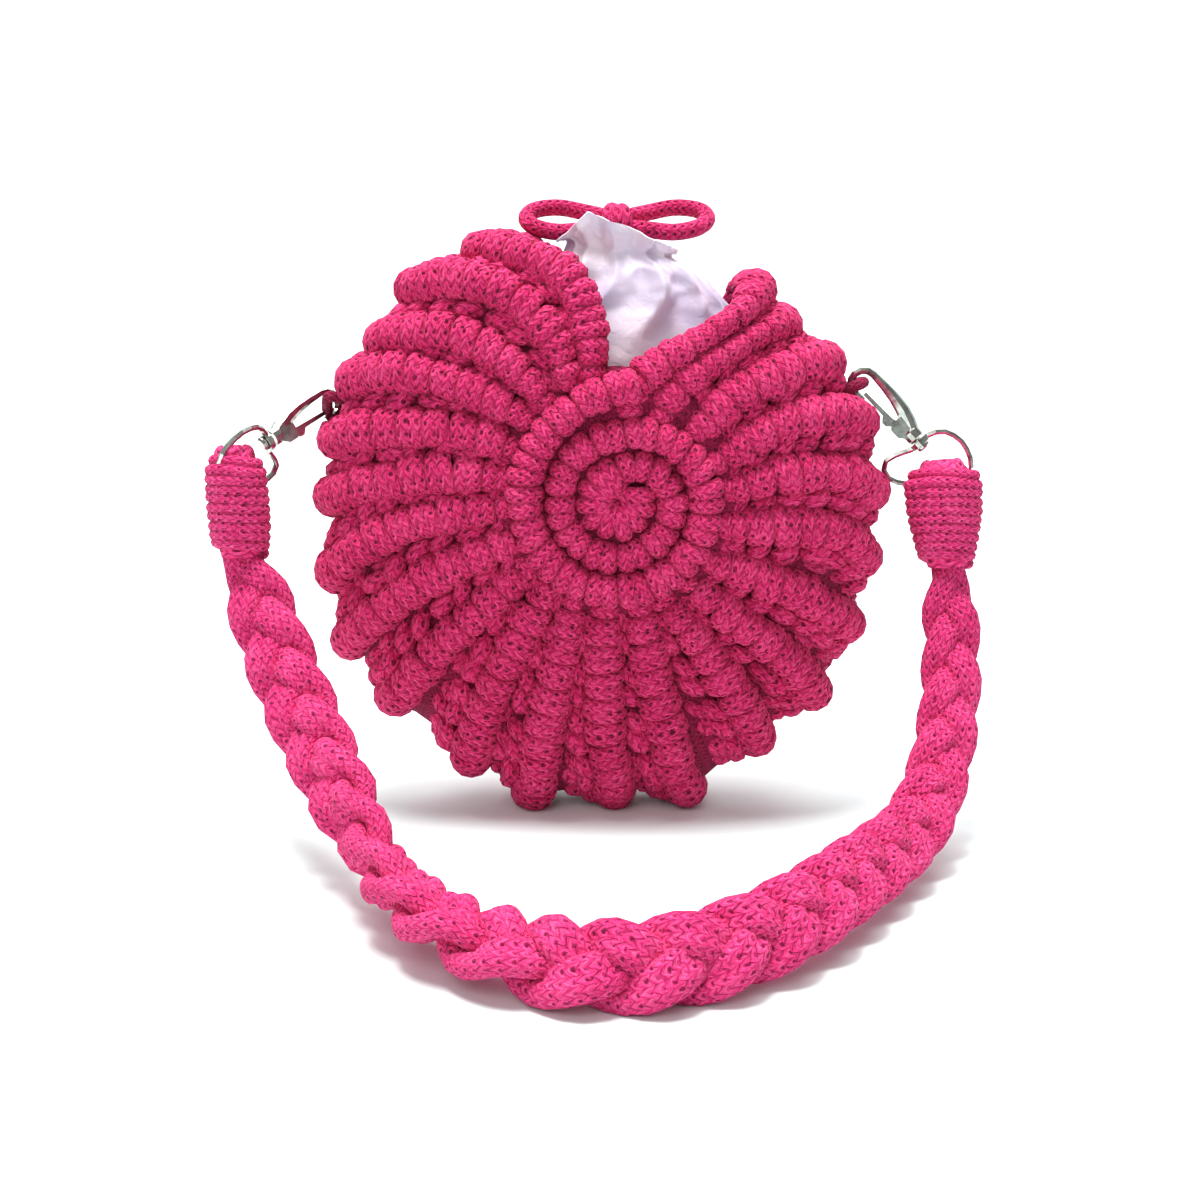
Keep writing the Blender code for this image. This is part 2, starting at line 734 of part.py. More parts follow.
# Snap hooks and dee rings
def hook_place(row):
    # Local X runs from the crown to the barrel, local Y from the spine to the gate. The crown's wire
    # rests against the rim loop's cord, which crosses the hook's own plane at a slant.
    barrel = Vector(row.barrel).normalized()
    slant = abs(hook_normal(row).dot(rim_loop_span(row)))
    slack = HOOK_CROWN - (HOOK_WIRE / 2 + RIM_LOOP_CORD / 2 + 2 * GAP) / slant
    return frame_matrix(rim_loop_centre(row) + barrel * slack, barrel, row.gate)


def eyelet_distance():
    return HOOK_BARREL_START + HOOK_BARREL_LENGTH + GAP + EYELET_THICKNESS / 2


def hook_wire():
    # Way of the hook's wire from the claw's free end round the crown and down the swelling spine.
    wire = HOOK_WIRE / 2
    points = [(GATE_TIP + 0.0013, HOOK_CROWN), (0.0, HOOK_CROWN)]
    points += [(-HOOK_CROWN * math.sin(math.radians(a)), HOOK_CROWN * math.cos(math.radians(a)))
               for a in (30, 60, 90, 120, 150)]
    radii = [wire] * len(points)
    spine = ((0.0, -1.0, 1.0), (0.25, -1.0, 1.22), (0.5, -0.93, 1.55), (0.72, -0.75, 1.9), (0.9, -0.45, 2.1),
             (1.04, -0.15, 2.1))
    for along, side, swell in spine:
        points.append((along * HOOK_BARREL_START, side * HOOK_CROWN))
        radii.append(wire * swell)
    return points, radii


def make_hook(row, material, parts, tools):
    place = hook_place(row)
    points, radii = hook_wire()
    ways = [place @ Vector((x, y, 0.0)) for x, y in points]
    hook = tube(row.name + "_hook", ways, radii, 8, material, tools)

    pivot_x, pivot_y = GATE_PIVOT
    cheeks = [
        (pivot_x - 0.0022, -0.0010), (pivot_x + 0.0046, -0.0010), (pivot_x + 0.0046, 0.0020),
        (pivot_x + 0.0022, pivot_y + 0.0019), (pivot_x - 0.0010, pivot_y + 0.0019), (pivot_x - 0.0022, 0.0024),
    ]
    block = plate("cheeks", cheeks, 2 * HOOK_CHEEK_HALF, place, material, tools)
    hook = combine(hook, block, "UNION", material, tools)

    start, end = HOOK_BARREL_START, HOOK_BARREL_START + HOOK_BARREL_LENGTH
    head = end + 2 * GAP + EYELET_THICKNESS
    profile = [
        (0.0, head + SWIVEL_HEAD_THICKNESS),
        (SWIVEL_HEAD_RADIUS * 0.8, head + SWIVEL_HEAD_THICKNESS),
        (SWIVEL_HEAD_RADIUS, head + SWIVEL_HEAD_THICKNESS * 0.6),
        (SWIVEL_HEAD_RADIUS, head),
        (SWIVEL_SHANK_RADIUS, head),
        (SWIVEL_SHANK_RADIUS, end),
        (HOOK_BARREL_RADIUS * 0.85, end),
        (HOOK_BARREL_RADIUS, end - 0.0008),
        (HOOK_BARREL_RADIUS, start + 0.0008),
        (HOOK_BARREL_RADIUS * 0.85, start),
        (0.0, start),
    ]
    # The profile spins round local Z, so Z is laid along the barrel.
    barrel = turned("barrel", profile, 12, place @ Matrix.Rotation(math.pi / 2, 4, "Y"), material, tools)
    hook = combine(hook, barrel, "UNION", material, tools)

    slot = GATE_THICKNESS / 2 + GAP
    cut = [(pivot_x - 0.0060, -0.0003), (pivot_x + 0.0024, -0.0003), (pivot_x + 0.0024, 0.0080),
           (pivot_x - 0.0060, 0.0080)]
    cutter = plate("slot", cut, 2 * slot, place, material, tools)
    hook = combine(hook, cutter, "DIFFERENCE", material, tools)

    pin = [place @ Vector((pivot_x, pivot_y, z)) for z in (-HOOK_CHEEK_HALF + GAP, HOOK_CHEEK_HALF - GAP)]
    hook = combine(hook, tube("pin", pin, GATE_PIN_RADIUS, 8, material, tools), "UNION", material, tools)
    tools.objects.unlink(hook)
    parts.objects.link(hook)


def make_gate(row, material, parts, tools):
    pivot_x, pivot_y = GATE_PIVOT
    root = 0.0017
    top = HOOK_CROWN - HOOK_WIRE / 2 - GAP
    bottom = top - GATE_THICKNESS
    outline = [(GATE_TIP, bottom), (GATE_TIP, top), (pivot_x - 0.0062, top), (pivot_x - 0.0046, top + 0.0017),
               (pivot_x - 0.0030, top + 0.0017), (pivot_x - 0.0016, top + 0.0003)]
    for a in (70, 35, 0, -35, -70, -105):
        turn = math.radians(a)
        outline.append((pivot_x + root * math.cos(turn), pivot_y + root * math.sin(turn)))
    outline.append((pivot_x - 0.0034, bottom - 0.0004))
    place = hook_place(row)
    gate = plate(row.name + "_gate", outline, GATE_THICKNESS, place, material, tools)
    hole = [place @ Vector((pivot_x, pivot_y, z)) for z in (-0.002, 0.002)]
    bore = tube("bore", hole, GATE_PIN_RADIUS + GAP, 8, material, tools)
    gate = combine(gate, bore, "DIFFERENCE", material, tools)
    tools.objects.unlink(gate)
    parts.objects.link(gate)


def ring_path(row):
    # The ring's wire lies in the plane of its two directions, and its ends meet in the eyelet.
    centre = hook_place(row) @ Vector((eyelet_distance(), 0.0, 0.0))
    across, down = Vector(row.across).normalized(), Vector(row.down).normalized()
    control = [centre + (across * x + down * y) * RING_SIZE for x, y in RING_OUTLINE]
    loop = [control[-1], *control, control[0]]
    return centre, smooth_path(loop[1:-1], 23)


def bar_middle(row):
    centre = hook_place(row) @ Vector((eyelet_distance(), 0.0, 0.0))
    across, down = Vector(row.across).normalized(), Vector(row.down).normalized()
    low = [corner for corner in RING_OUTLINE if corner[1] > 0.43]
    middle_x = sum(corner[0] for corner in low) / len(low)
    middle_y = sum(corner[1] for corner in low) / len(low)
    return centre + (across * middle_x + down * middle_y) * RING_SIZE


def make_ring(row, material, parts, tools):
    centre, path = ring_path(row)
    ring = tube(row.name + "_ring", path, RING_WIRE / 2, 6, material, tools)
    place = hook_place(row) @ Matrix.Translation((eyelet_distance(), 0.0, 0.0))
    place = place @ Matrix.Rotation(math.pi / 2, 4, "Y")
    half = EYELET_THICKNESS / 2
    disc = [(0.0, half), (EYELET_RADIUS, half), (EYELET_RADIUS, -half), (0.0, -half)]
    ring = combine(ring, turned("eyelet", disc, 14, place, material, tools), "UNION", material, tools)
    axis = (place.to_3x3() @ Vector((0.0, 0.0, 1.0))).normalized()
    hole = [centre - axis * 0.004, centre + axis * 0.004]
    bore = tube("bore", hole, SWIVEL_SHANK_RADIUS + GAP, 8, material, tools)
    ring = combine(ring, bore, "DIFFERENCE", material, tools)
    tools.objects.unlink(ring)
    parts.objects.link(ring)


# Strap
def end_axis(row):
    bar = bar_middle(row)
    return bar + Vector(row.end_top), bar + Vector(row.end_bottom)


def make_strap_end(row, material, parts, tools):
    top, bottom = end_axis(row)
    down = (bottom - top).normalized()
    bottom = top + down * END_LENGTH
    wide = (Vector((1.0, 0.0, 0.0)) - down * down.x).normalized()
    deep = down.cross(wide)
    sections = []
    for along, width, depth in END_ROWS:
        ring = []
        for i in range(END_SIDES):
            turn = 2 * math.pi * i / END_SIDES
            ring.append(top.lerp(bottom, along)
                        + wide * (END_HALF_WIDTH * row.width * width * math.cos(turn))
                        + deep * (END_HALF_DEPTH * depth * math.sin(turn)))
        sections.append(ring)
    strap_end = loft(row.name + "_strap_end", sections, material, tools)
    channel = tube("channel", ring_path(row)[1], RING_WIRE / 2 + GAP, 8, material, tools)
    strap_end = combine(strap_end, channel, "DIFFERENCE", material, tools)
    tools.objects.unlink(strap_end)
    parts.objects.link(strap_end)
    return bottom + down * 2 * GAP, down


def strap_frames(right, left, count):
    # Middle line, direction and broad-face direction of the strap at even steps. It sets out square to
    # the strap end on each side.
    (right_end, right_down), (left_end, left_down) = right, left
    half_span = (right_end.x - left_end.x) / 2
    middle_x = (right_end.x + left_end.x) / 2
    control = []
    for row in STRAP_ROWS:
        end_height = lerp(left_end.z, right_end.z, (row.side + 1) / 2)
        end_back = lerp(left_end.y, right_end.y, min(max((row.side + 1) / 2, 0.0), 1.0))
        control.append(Vector((middle_x + row.side * half_span,
                               lerp(end_back, -STRAP_REACH, row.forward),
                               lerp(STRAP_FLOOR_HEIGHT, end_height, row.rise))))
    control[0], control[-1] = right_end, left_end
    path = smooth_path(control, count)
    frames = []
    for i, point in enumerate(path):
        along = (path[min(i + 1, count - 1)] - path[max(i - 1, 0)]).normalized()
        if i == 0:
            along = right_down
        if i == count - 1:
            along = -left_down
        at = i / (count - 1) * (len(STRAP_ROWS) - 1)
        low = min(int(at), len(STRAP_ROWS) - 2)
        face = math.radians(lerp(STRAP_ROWS[low].face, STRAP_ROWS[low + 1].face, at - low))
        normal = Vector((0.0, -math.cos(face), math.sin(face)))
        normal = (normal - along * normal.dot(along)).normalized()
        frames.append((point, along, normal))
    return frames


def make_strap(right, left, material, parts):
    count = BRAID_PERIODS * BRAID_STEPS_PER_PERIOD + 1
    frames = strap_frames(right, left, count)
    for strand in range(3):
        centres, sizes = [], []
        for i, (point, along, normal) in enumerate(frames):
            phase = 2 * math.pi * (i / BRAID_STEPS_PER_PERIOD + strand / 3)
            wide = along.cross(normal)
            from_end = min(i, count - 1 - i) / BRAID_STEPS_PER_PERIOD
            size = 1 - BRAID_END_SHRINK * max(0.0, 1 - 1.5 * from_end)
            sizes.append(size)
            centres.append(point + wide * (BRAID_SWING * size * math.sin(phase))
                           + normal * (BRAID_LIFT * size * math.sin(2 * phase)))
        sections = []
        for i, centre in enumerate(centres):
            ahead = (centres[min(i + 1, count - 1)] - centres[max(i - 1, 0)]).normalized()
            if i in (0, count - 1):
                ahead = frames[i][1]
            wide = ahead.cross(frames[i][2]).normalized()
            thick = wide.cross(ahead)
            section = []
            for x, y in ((1.0, 0.0), (0.5, 1.0), (-0.5, 1.0), (-1.0, 0.0), (-0.5, -1.0), (0.5, -1.0)):
                corner = (centre + wide * (STRAND_HALF_WIDTH * sizes[i] * x)
                          + thick * (STRAND_HALF_THICKNESS * sizes[i] * y))
                corner.z = max(corner.z, 0.0)
                section.append(corner)
            sections.append(section)
        loft("strap_strand_" + "abc"[strand], sections, material, parts)


def main():
    clear_scene()
    parts = bpy.data.collections.new("macrame_bag")
    tools = bpy.data.collections.new("working_shapes")
    bpy.context.scene.collection.children.link(parts)
    bpy.context.scene.collection.children.link(tools)
    cord = make_material("cotton_cord", PINK, 0.9, 0.0)
    strap_cord = make_material("strap_cord", PINK_STRAP, 0.9, 0.0)
    satin = make_material("lining_satin", WHITE, 0.45, 0.0)
    nickel = make_material("nickel", NICKEL, 0.22, 1.0)

    make_shell(cord, parts, tools)
    make_coils(cord, parts)
    make_lining(satin, parts)
    make_bow(cord, parts)
    ends = {}
    for row in HOOK_ROWS:
        make_hook(row, nickel, parts, tools)
        make_gate(row, nickel, parts, tools)
        make_ring(row, nickel, parts, tools)
        ends[row.name] = make_strap_end(row, strap_cord, parts, tools)
    make_strap(ends["right"], ends["left"], strap_cord, parts)


main()
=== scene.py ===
import math

import bpy
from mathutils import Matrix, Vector, noise


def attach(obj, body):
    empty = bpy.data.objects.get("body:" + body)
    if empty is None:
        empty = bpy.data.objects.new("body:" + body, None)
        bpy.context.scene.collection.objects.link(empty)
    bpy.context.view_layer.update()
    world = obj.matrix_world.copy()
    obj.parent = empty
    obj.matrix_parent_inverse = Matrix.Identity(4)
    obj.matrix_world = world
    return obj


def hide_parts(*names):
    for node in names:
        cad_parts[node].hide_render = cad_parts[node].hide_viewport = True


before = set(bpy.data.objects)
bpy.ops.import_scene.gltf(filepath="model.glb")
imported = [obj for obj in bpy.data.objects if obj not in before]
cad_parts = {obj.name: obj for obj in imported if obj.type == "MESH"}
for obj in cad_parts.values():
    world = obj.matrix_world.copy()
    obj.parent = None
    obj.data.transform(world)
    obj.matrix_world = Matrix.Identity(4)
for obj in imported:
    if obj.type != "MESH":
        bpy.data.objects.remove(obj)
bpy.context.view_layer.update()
print("frame loaded")


# camera in front of the bag and a little above it
cameraLook = {"place": (-0.0051, -0.5869, 0.1927), "target": (-0.0051, 0.0, 0.068), "lens": 55.4}


def makeCamera(look):
    lens = bpy.data.cameras.new("studioCamera")
    lens.lens = look["lens"]
    lens.sensor_width = 36.0
    lens.clip_start = 0.01
    eye = bpy.data.objects.new("studioCamera", lens)
    eye.location = look["place"]
    aim = Vector(look["target"]) - Vector(look["place"])
    eye.rotation_euler = aim.to_track_quat("-Z", "Y").to_euler()
    bpy.context.scene.collection.objects.link(eye)
    bpy.context.scene.camera = eye


makeCamera(cameraLook)


# small helpers for meshes
def newShape():
    return {"points": [], "faces": [], "uvs": []}


def makePiece(name, shape, material):
    mesh = bpy.data.meshes.new(name)
    mesh.from_pydata(shape["points"], [], shape["faces"])
    layer = mesh.uv_layers.new(name="cordUv")
    for corner, uv in zip(layer.data, shape["uvs"]):
        corner.uv = uv
    mesh.shade_smooth()
    mesh.materials.append(material)
    piece = bpy.data.objects.new(name, mesh)
    bpy.context.scene.collection.objects.link(piece)
    return piece


def mix(first, second, share):
    return first + (second - first) * share


def clamp(value):
    return min(max(value, 0.0), 1.0)


def tableValue(rows, column, at):
    # straight-line reading of one column, with the key in column 0
    for low, high in zip(rows, rows[1:]):
        if at <= high[0] or high is rows[-1]:
            return mix(low[column], high[column], clamp((at - low[0]) / (high[0] - low[0])))


def evenPath(dense, count):
    lengths = [0.0]
    for first, second in zip(dense, dense[1:]):
        lengths.append(lengths[-1] + (second - first).length)
    even, at = [], 0
    for i in range(count):
        goal = lengths[-1] * i / (count - 1)
        while at < len(dense) - 2 and lengths[at + 1] < goal:
            at += 1
        span = max(lengths[at + 1] - lengths[at], 1e-9)
        even.append(dense[at].lerp(dense[at + 1], min((goal - lengths[at]) / span, 1.0)))
    return even


def curvePoint(p0, p1, p2, p3, t):
    # a smooth curve from p1 to p2 that heads from p0 and towards p3
    return 0.5 * (2 * p1 + (p2 - p0) * t + (2 * p0 - 5 * p1 + 4 * p2 - p3) * t ** 2
                  + (3 * p1 - p0 - 3 * p2 + p3) * t ** 3)


def smoothPath(points, count, between=12):
    points = [Vector(point) for point in points]
    padded = [points[0] * 2 - points[1], *points, points[-1] * 2 - points[-2]]
    dense = []
    for i in range(1, len(padded) - 2):
        dense += [curvePoint(*padded[i - 1:i + 3], step / between) for step in range(between)]
    dense.append(points[-1].copy())
    return evenPath(dense, count)


# half the width of a groove along the middle of a cord's face, as a share of half the cord's width
grooveWidth = 0.24
# the rings of a rounded end: how far out and how wide, as shares of the radius
domeSteps = ((0.95, 0.32), (0.72, 0.72), (0.36, 0.94))


def addRing(shape, centre, across, up, halfWide, halfHigh, sides, groove=0.0):
    # groove is how much thinner the section is in its middle
    first = len(shape["points"])
    for i in range(sides):
        turn = 2 * math.pi * i / sides
        dip = 1 - groove * math.exp(-(math.cos(turn) / grooveWidth) ** 2)
        wide, high = halfWide * math.cos(turn), halfHigh * dip * math.sin(turn)
        shape["points"].append(centre + across * wide + up * high)
    return first


def addSkin(shape, first, second, sides, startAt, endAt):
    # quads between two rings, with the cord's length as U and the share round it as V
    for i in range(sides):
        j = (i + 1) % sides
        shape["faces"].append((first + i, first + j, second + j, second + i))
        low, high = i / sides, (i + 1) / sides
        shape["uvs"] += [(startAt, low), (startAt, high), (endAt, high), (endAt, low)]


def addCap(shape, first, sides, at, outward):
    ring = [first + i for i in range(sides)]
    shape["faces"].append(tuple(ring if outward else ring[::-1]))
    uvs = [(at, i / sides) for i in range(sides)]
    shape["uvs"] += uvs if outward else uvs[::-1]


def skinRings(shape, rings, sides):
    # a closed skin over rings that each come with their place along the cord
    for (first, startAt), (second, endAt) in zip(rings, rings[1:]):
        addSkin(shape, first, second, sides, startAt, endAt)
    addCap(shape, rings[0][0], sides, rings[0][1], False)
    addCap(shape, rings[-1][0], sides, rings[-1][1], True)


def addTube(shape, path, radius, sides=12, ups=None, flat=1.0, seamTurn=-90.0, domes=True, uvStart=0.0,
            groove=0.0):
    # a tube with rounded ends; radius is a number or one for each point, ups the side its seam lies away from
    count = len(path)
    radii = radius if isinstance(radius, (list, tuple)) else [radius] * count
    up = None
    rings, travelled = [], uvStart
    seam = math.radians(seamTurn)
    for i, point in enumerate(path):
        ahead = (path[min(i + 1, count - 1)] - path[max(i - 1, 0)]).normalized()
        if ups is not None:
            up = ups[i]
        elif up is None:
            up = ahead.orthogonal()
        up = (up - ahead * up.dot(ahead)).normalized()
        wide = ahead.cross(up)
        across = wide * math.cos(seam) + up * math.sin(seam)
        lifted = -wide * math.sin(seam) + up * math.cos(seam)
        if i > 0:
            travelled += (point - path[i - 1]).length
        halfAcross = radii[i] * math.hypot(math.cos(seam), math.sin(seam) * flat)
        halfUp = radii[i] * math.hypot(math.sin(seam), math.cos(seam) * flat)
        ring = (point, across, lifted, halfAcross, halfUp)
        if domes and i == 0:
            for back, size in domeSteps:
                rings.append((addRing(shape, point - ahead * (radii[0] * back), across, lifted,
                                      halfAcross * size, halfUp * size, sides), travelled - radii[0] * back))
        rings.append((addRing(shape, *ring, sides, groove), travelled))
        if domes and i == count - 1:
            for out, size in reversed(domeSteps):
                rings.append((addRing(shape, point + ahead * (radii[-1] * out), across, lifted,
                                      halfAcross * size, halfUp * size, sides), travelled + radii[-1] * out))
    skinRings(shape, rings, sides)


def addWall(piece, thickness):
    wall = piece.modifiers.new("wall", "SOLIDIFY")
    wall.thickness = thickness
    wall.offset = -1.0


# node helpers
def addNode(tree, kind, inputs=None, **settings):
    node = tree.nodes.new(kind)
    for key, value in settings.items():
        setattr(node, key, value)
    for key, value in (inputs or {}).items():
        if isinstance(value, bpy.types.NodeSocket):
            tree.links.new(value, node.inputs[key])
        else:
            node.inputs[key].default_value = value
    return node


def calc(tree, operation, *values):
    return addNode(tree, "ShaderNodeMath", dict(enumerate(values)), operation=operation).outputs[0]


def limited(tree, operation, *values):
    node = addNode(tree, "ShaderNodeMath", dict(enumerate(values)), operation=operation, use_clamp=True)
    return node.outputs[0]


def cloudy(tree, place, scale, detail, **more):
    inputs = {"Vector": place, "Scale": scale, "Detail": detail, **more}
    return addNode(tree, "ShaderNodeTexNoise", inputs).outputs[0]


def joined(tree, x=0.0, y=0.0, z=0.0):
    return addNode(tree, "ShaderNodeCombineXYZ", {0: x, 1: y, 2: z}).outputs[0]


def startMaterial(name):
    material = bpy.data.materials.new(name)
    material.use_nodes = True
    tree = material.node_tree
    tree.nodes.clear()
    shader = tree.nodes.new("ShaderNodeBsdfPrincipled")
    out = tree.nodes.new("ShaderNodeOutputMaterial")
    tree.links.new(shader.outputs[0], out.inputs[0])
    return material, tree, shader


def colourRamp(tree, factor, stops):
    ramp = addNode(tree, "ShaderNodeValToRGB", {0: factor})
    while len(ramp.color_ramp.elements) < len(stops):
        ramp.color_ramp.elements.new(0.5)
    for element, (place, colour) in zip(ramp.color_ramp.elements, stops):
        element.position = place
        element.color = (*colour, 1.0)
    return ramp.outputs[0]


def finishShader(tree, shader, colour, height, strength, relief, settings):
    bump = addNode(tree, "ShaderNodeBump", {"Strength": strength, "Distance": relief, "Height": height})
    tree.links.new(colour, shader.inputs["Base Color"])
    tree.links.new(bump.outputs[0], shader.inputs["Normal"])
    for key, value in settings.items():
        shader.inputs[key].default_value = value


# knitted cotton cord: columns of V stitches along the cord, with painted shade in a pit in each V and in the
# gaps between the stitches
cordLook = {
    "columns": 6.0, "stitch": 0.0026, "slant": 1.15, "pitWide": 0.30, "pitLong": 0.24, "pitAt": 0.12,
    "deep": (0.145, 0.001, 0.026), "middle": (0.69, 0.012, 0.126), "bright": (1.0, 0.105, 0.315),
    "relief": 0.00070, "waverScale": 260.0, "fibreScale": 2400.0, "cloudScale": 110.0, "spotScale": 420.0,
    # how far the stitches stray, along the cord and round it
    "waver": 0.8, "waverAround": 0.35,
    # how round each leg is, how sharp its edge, how hard and deep the pits are, and how much the painted
    # shade in the pits varies
    "swell": 0.55, "edge": 6.0, "pitHard": 2.2, "pitDepth": 0.9, "pitShadeGape": (0.44, 0.58, 0.10, 1.0),
    # the streaks of fibre: stretch along, across and with the waver, and their share beside the fine fibre
    "streak": (7.0, 1.6, 4.0), "streakShare": 0.75,
    # how light each thing makes the cord: the legs and the pits paint shade in the gaps between stitches and
    # in the pits, while fibre and cloud give the yarn's own tone
    "legShadeTone": 0.40, "fibreTone": 2.1, "cloudTone": 0.5, "pitShadeTone": 0.66,
    "darkFibre": -0.97, "darkCloud": -0.12,
    "shader": {"Roughness": 0.88, "Specular IOR Level": 0.25, "Sheen Weight": 0.10, "Sheen Roughness": 0.45,
               "Sheen Tint": (1.0, 0.35, 0.55, 1.0)},
}
# a lighter copy of the cord colours: painted light on the strap and its whipped ends
litStrapLook = dict(cordLook, deep=(0.26, 0.003, 0.055), middle=(0.86, 0.026, 0.190), bright=(1.0, 0.140, 0.380))
# a darker copy of the cord colours: painted shade for the ground between the ribs and under the coils, and
# for the rim loops
shadedCordLook = dict(cordLook, deep=(0.12, 0.001, 0.02), middle=(0.30, 0.006, 0.055), bright=(0.42, 0.014, 0.09))


def knitMaterial(name, look):
    material, tree, shader = startMaterial(name)
    uv = addNode(tree, "ShaderNodeUVMap", uv_map="cordUv").outputs[0]
    split = addNode(tree, "ShaderNodeSeparateXYZ", {0: uv})
    place = addNode(tree, "ShaderNodeTexCoord").outputs["Object"]
    waver = cloudy(tree, place, look["waverScale"], 2.0)
    waver = calc(tree, "MULTIPLY_ADD", waver, look["waver"], -look["waver"] / 2)
    along = calc(tree, "MULTIPLY_ADD", split.outputs[0], 1.0 / look["stitch"], waver)
    around = calc(tree, "MULTIPLY", split.outputs[1], look["columns"])
    around = calc(tree, "MULTIPLY_ADD", waver, look["waverAround"], around)
    beside = calc(tree, "ABSOLUTE", calc(tree, "SUBTRACT", calc(tree, "FRACT", around), 0.5))
    # the two legs of each V swell between their edges
    phase = calc(tree, "MULTIPLY_ADD", beside, look["slant"], along)
    stitch = calc(tree, "FRACT", phase)
    arch = calc(tree, "SINE", calc(tree, "MULTIPLY", stitch, math.pi))
    swell = calc(tree, "POWER", arch, look["swell"])
    edge = calc(tree, "POWER", calc(tree, "MULTIPLY", beside, 2.0), look["edge"])
    edge = calc(tree, "SUBTRACT", 1.0, edge)
    leg = calc(tree, "MULTIPLY", swell, calc(tree, "MULTIPLY_ADD", edge, 0.5, 0.5))
    # the pit sits where the legs part
    pitAlong = calc(tree, "ABSOLUTE", calc(tree, "SUBTRACT", calc(tree, "FRACT", along), look["pitAt"]))
    pitWide = calc(tree, "SUBTRACT", 1.0, calc(tree, "DIVIDE", beside, look["pitWide"]))
    pitLong = calc(tree, "SUBTRACT", 1.0, calc(tree, "DIVIDE", pitAlong, look["pitLong"]))
    pit = calc(tree, "MULTIPLY", calc(tree, "MAXIMUM", pitWide, 0.0), calc(tree, "MAXIMUM", pitLong, 0.0))
    pit = limited(tree, "MULTIPLY", pit, look["pitHard"])
    # fibres run along the legs of each V
    stretched = [calc(tree, "MULTIPLY", *pair) for pair in zip((phase, around, waver), look["streak"])]
    streak = cloudy(tree, joined(tree, *stretched), 1.0, 3.0, Roughness=0.65)
    fibre = cloudy(tree, place, look["fibreScale"], 2.0, Roughness=0.6)
    fibre = calc(tree, "MULTIPLY", fibre, 1.0 - look["streakShare"])
    fibre = calc(tree, "MULTIPLY_ADD", streak, look["streakShare"], fibre)
    cloud = cloudy(tree, place, look["cloudScale"], 2.0)
    height = calc(tree, "MULTIPLY_ADD", fibre, 1.0, leg)
    height = calc(tree, "MULTIPLY_ADD", pit, -look["pitDepth"], height)
    # the painted pit shade is deep in some pits and faint in others
    spotted = cloudy(tree, place, look["spotScale"], 1.0)
    pitShadeSpread = addNode(tree, "ShaderNodeMapRange", dict(enumerate((spotted, *look["pitShadeGape"])))).outputs[0]
    pit = calc(tree, "MULTIPLY", pit, pitShadeSpread)
    fibreTone = calc(tree, "MULTIPLY_ADD", fibre, look["fibreTone"], look["darkFibre"])
    cloudTone = calc(tree, "MULTIPLY_ADD", cloud, look["cloudTone"], look["darkCloud"])
    # painted shade: the tone follows each leg's swell, so the gaps between stitches are darker
    tone = calc(tree, "MULTIPLY_ADD", leg, look["legShadeTone"], fibreTone)
    tone = calc(tree, "ADD", tone, cloudTone)
    # painted shade in the pits, deeper in some than in others
    tone = limited(tree, "SUBTRACT", tone, calc(tree, "MULTIPLY", pit, look["pitShadeTone"]))
    colour = colourRamp(tree, tone, [(0.0, look["deep"]), (0.42, look["middle"]), (0.95, look["bright"])])
    finishShader(tree, shader, colour, height, 1.0, look["relief"], look["shader"])
    return material


# thin white satin with a fine weave, and painted lilac shade in blotches where a noise runs low, standing in
# for the shade of its folds
satinLook = {
    "light": (0.80, 0.69, 0.77), "paintedShade": (0.58, 0.52, 0.71), "weave": 4200.0 / 6.3, "relief": 0.00005,
    "shader": {"Roughness": 0.42, "Sheen Weight": 0.2, "Subsurface Weight": 0.15,
               "Subsurface Radius": (0.004, 0.003, 0.004)},
}


def satinMaterial(name, look):
    material, tree, shader = startMaterial(name)
    place = addNode(tree, "ShaderNodeTexCoord").outputs["Object"]
    cloud = cloudy(tree, place, 45.0, 3.0)
    threads = []
    for way in ("X", "Z"):
        thread = addNode(tree, "ShaderNodeTexWave", {"Vector": place, "Scale": look["weave"]},
                         bands_direction=way)
        threads.append(thread.outputs[1])
    weave = calc(tree, "ADD", *threads)
    crease = cloudy(tree, place, 160.0, 4.0, Distortion=1.5)
    height = calc(tree, "MULTIPLY_ADD", weave, 0.15, calc(tree, "MULTIPLY", crease, 9.0))
    # painted shade: lilac where the cloud noise is low, the pale satin colour where it is high
    colour = colourRamp(tree, cloud, [(0.3, look["paintedShade"]), (0.62, look["light"])])
    finishShader(tree, shader, colour, height, 0.8, look["relief"], look["shader"])
    return material


# bright nickel with light polishing marks, a little greener in its dull places
nickelLook = {
    "bright": (0.70, 0.69, 0.66), "dull": (0.36, 0.36, 0.32), "marks": 900.0, "relief": 0.00005,
    "shader": {"Metallic": 1.0},
}


def nickelMaterial(name, look):
    material, tree, shader = startMaterial(name)
    place = addNode(tree, "ShaderNodeTexCoord").outputs["Object"]
    cloud = cloudy(tree, place, 220.0, 4.0)
    marks = cloudy(tree, place, look["marks"], 5.0, Distortion=0.6)
    colour = colourRamp(tree, cloud, [(0.35, look["dull"]), (0.65, look["bright"])])
    tree.links.new(calc(tree, "MULTIPLY_ADD", marks, 0.22, 0.10), shader.inputs["Roughness"])
    finishShader(tree, shader, colour, marks, 0.25, look["relief"], look["shader"])
    return material


cordPink = knitMaterial("knittedCord", cordLook)
litStrapPink = knitMaterial("litStrapCord", litStrapLook)
shadedCordPink = knitMaterial("shadedGroundCord", shadedCordLook)
satinWhite = satinMaterial("liningSatin", satinLook)
nickel = nickelMaterial("brightNickel", nickelLook)
print("materials made")


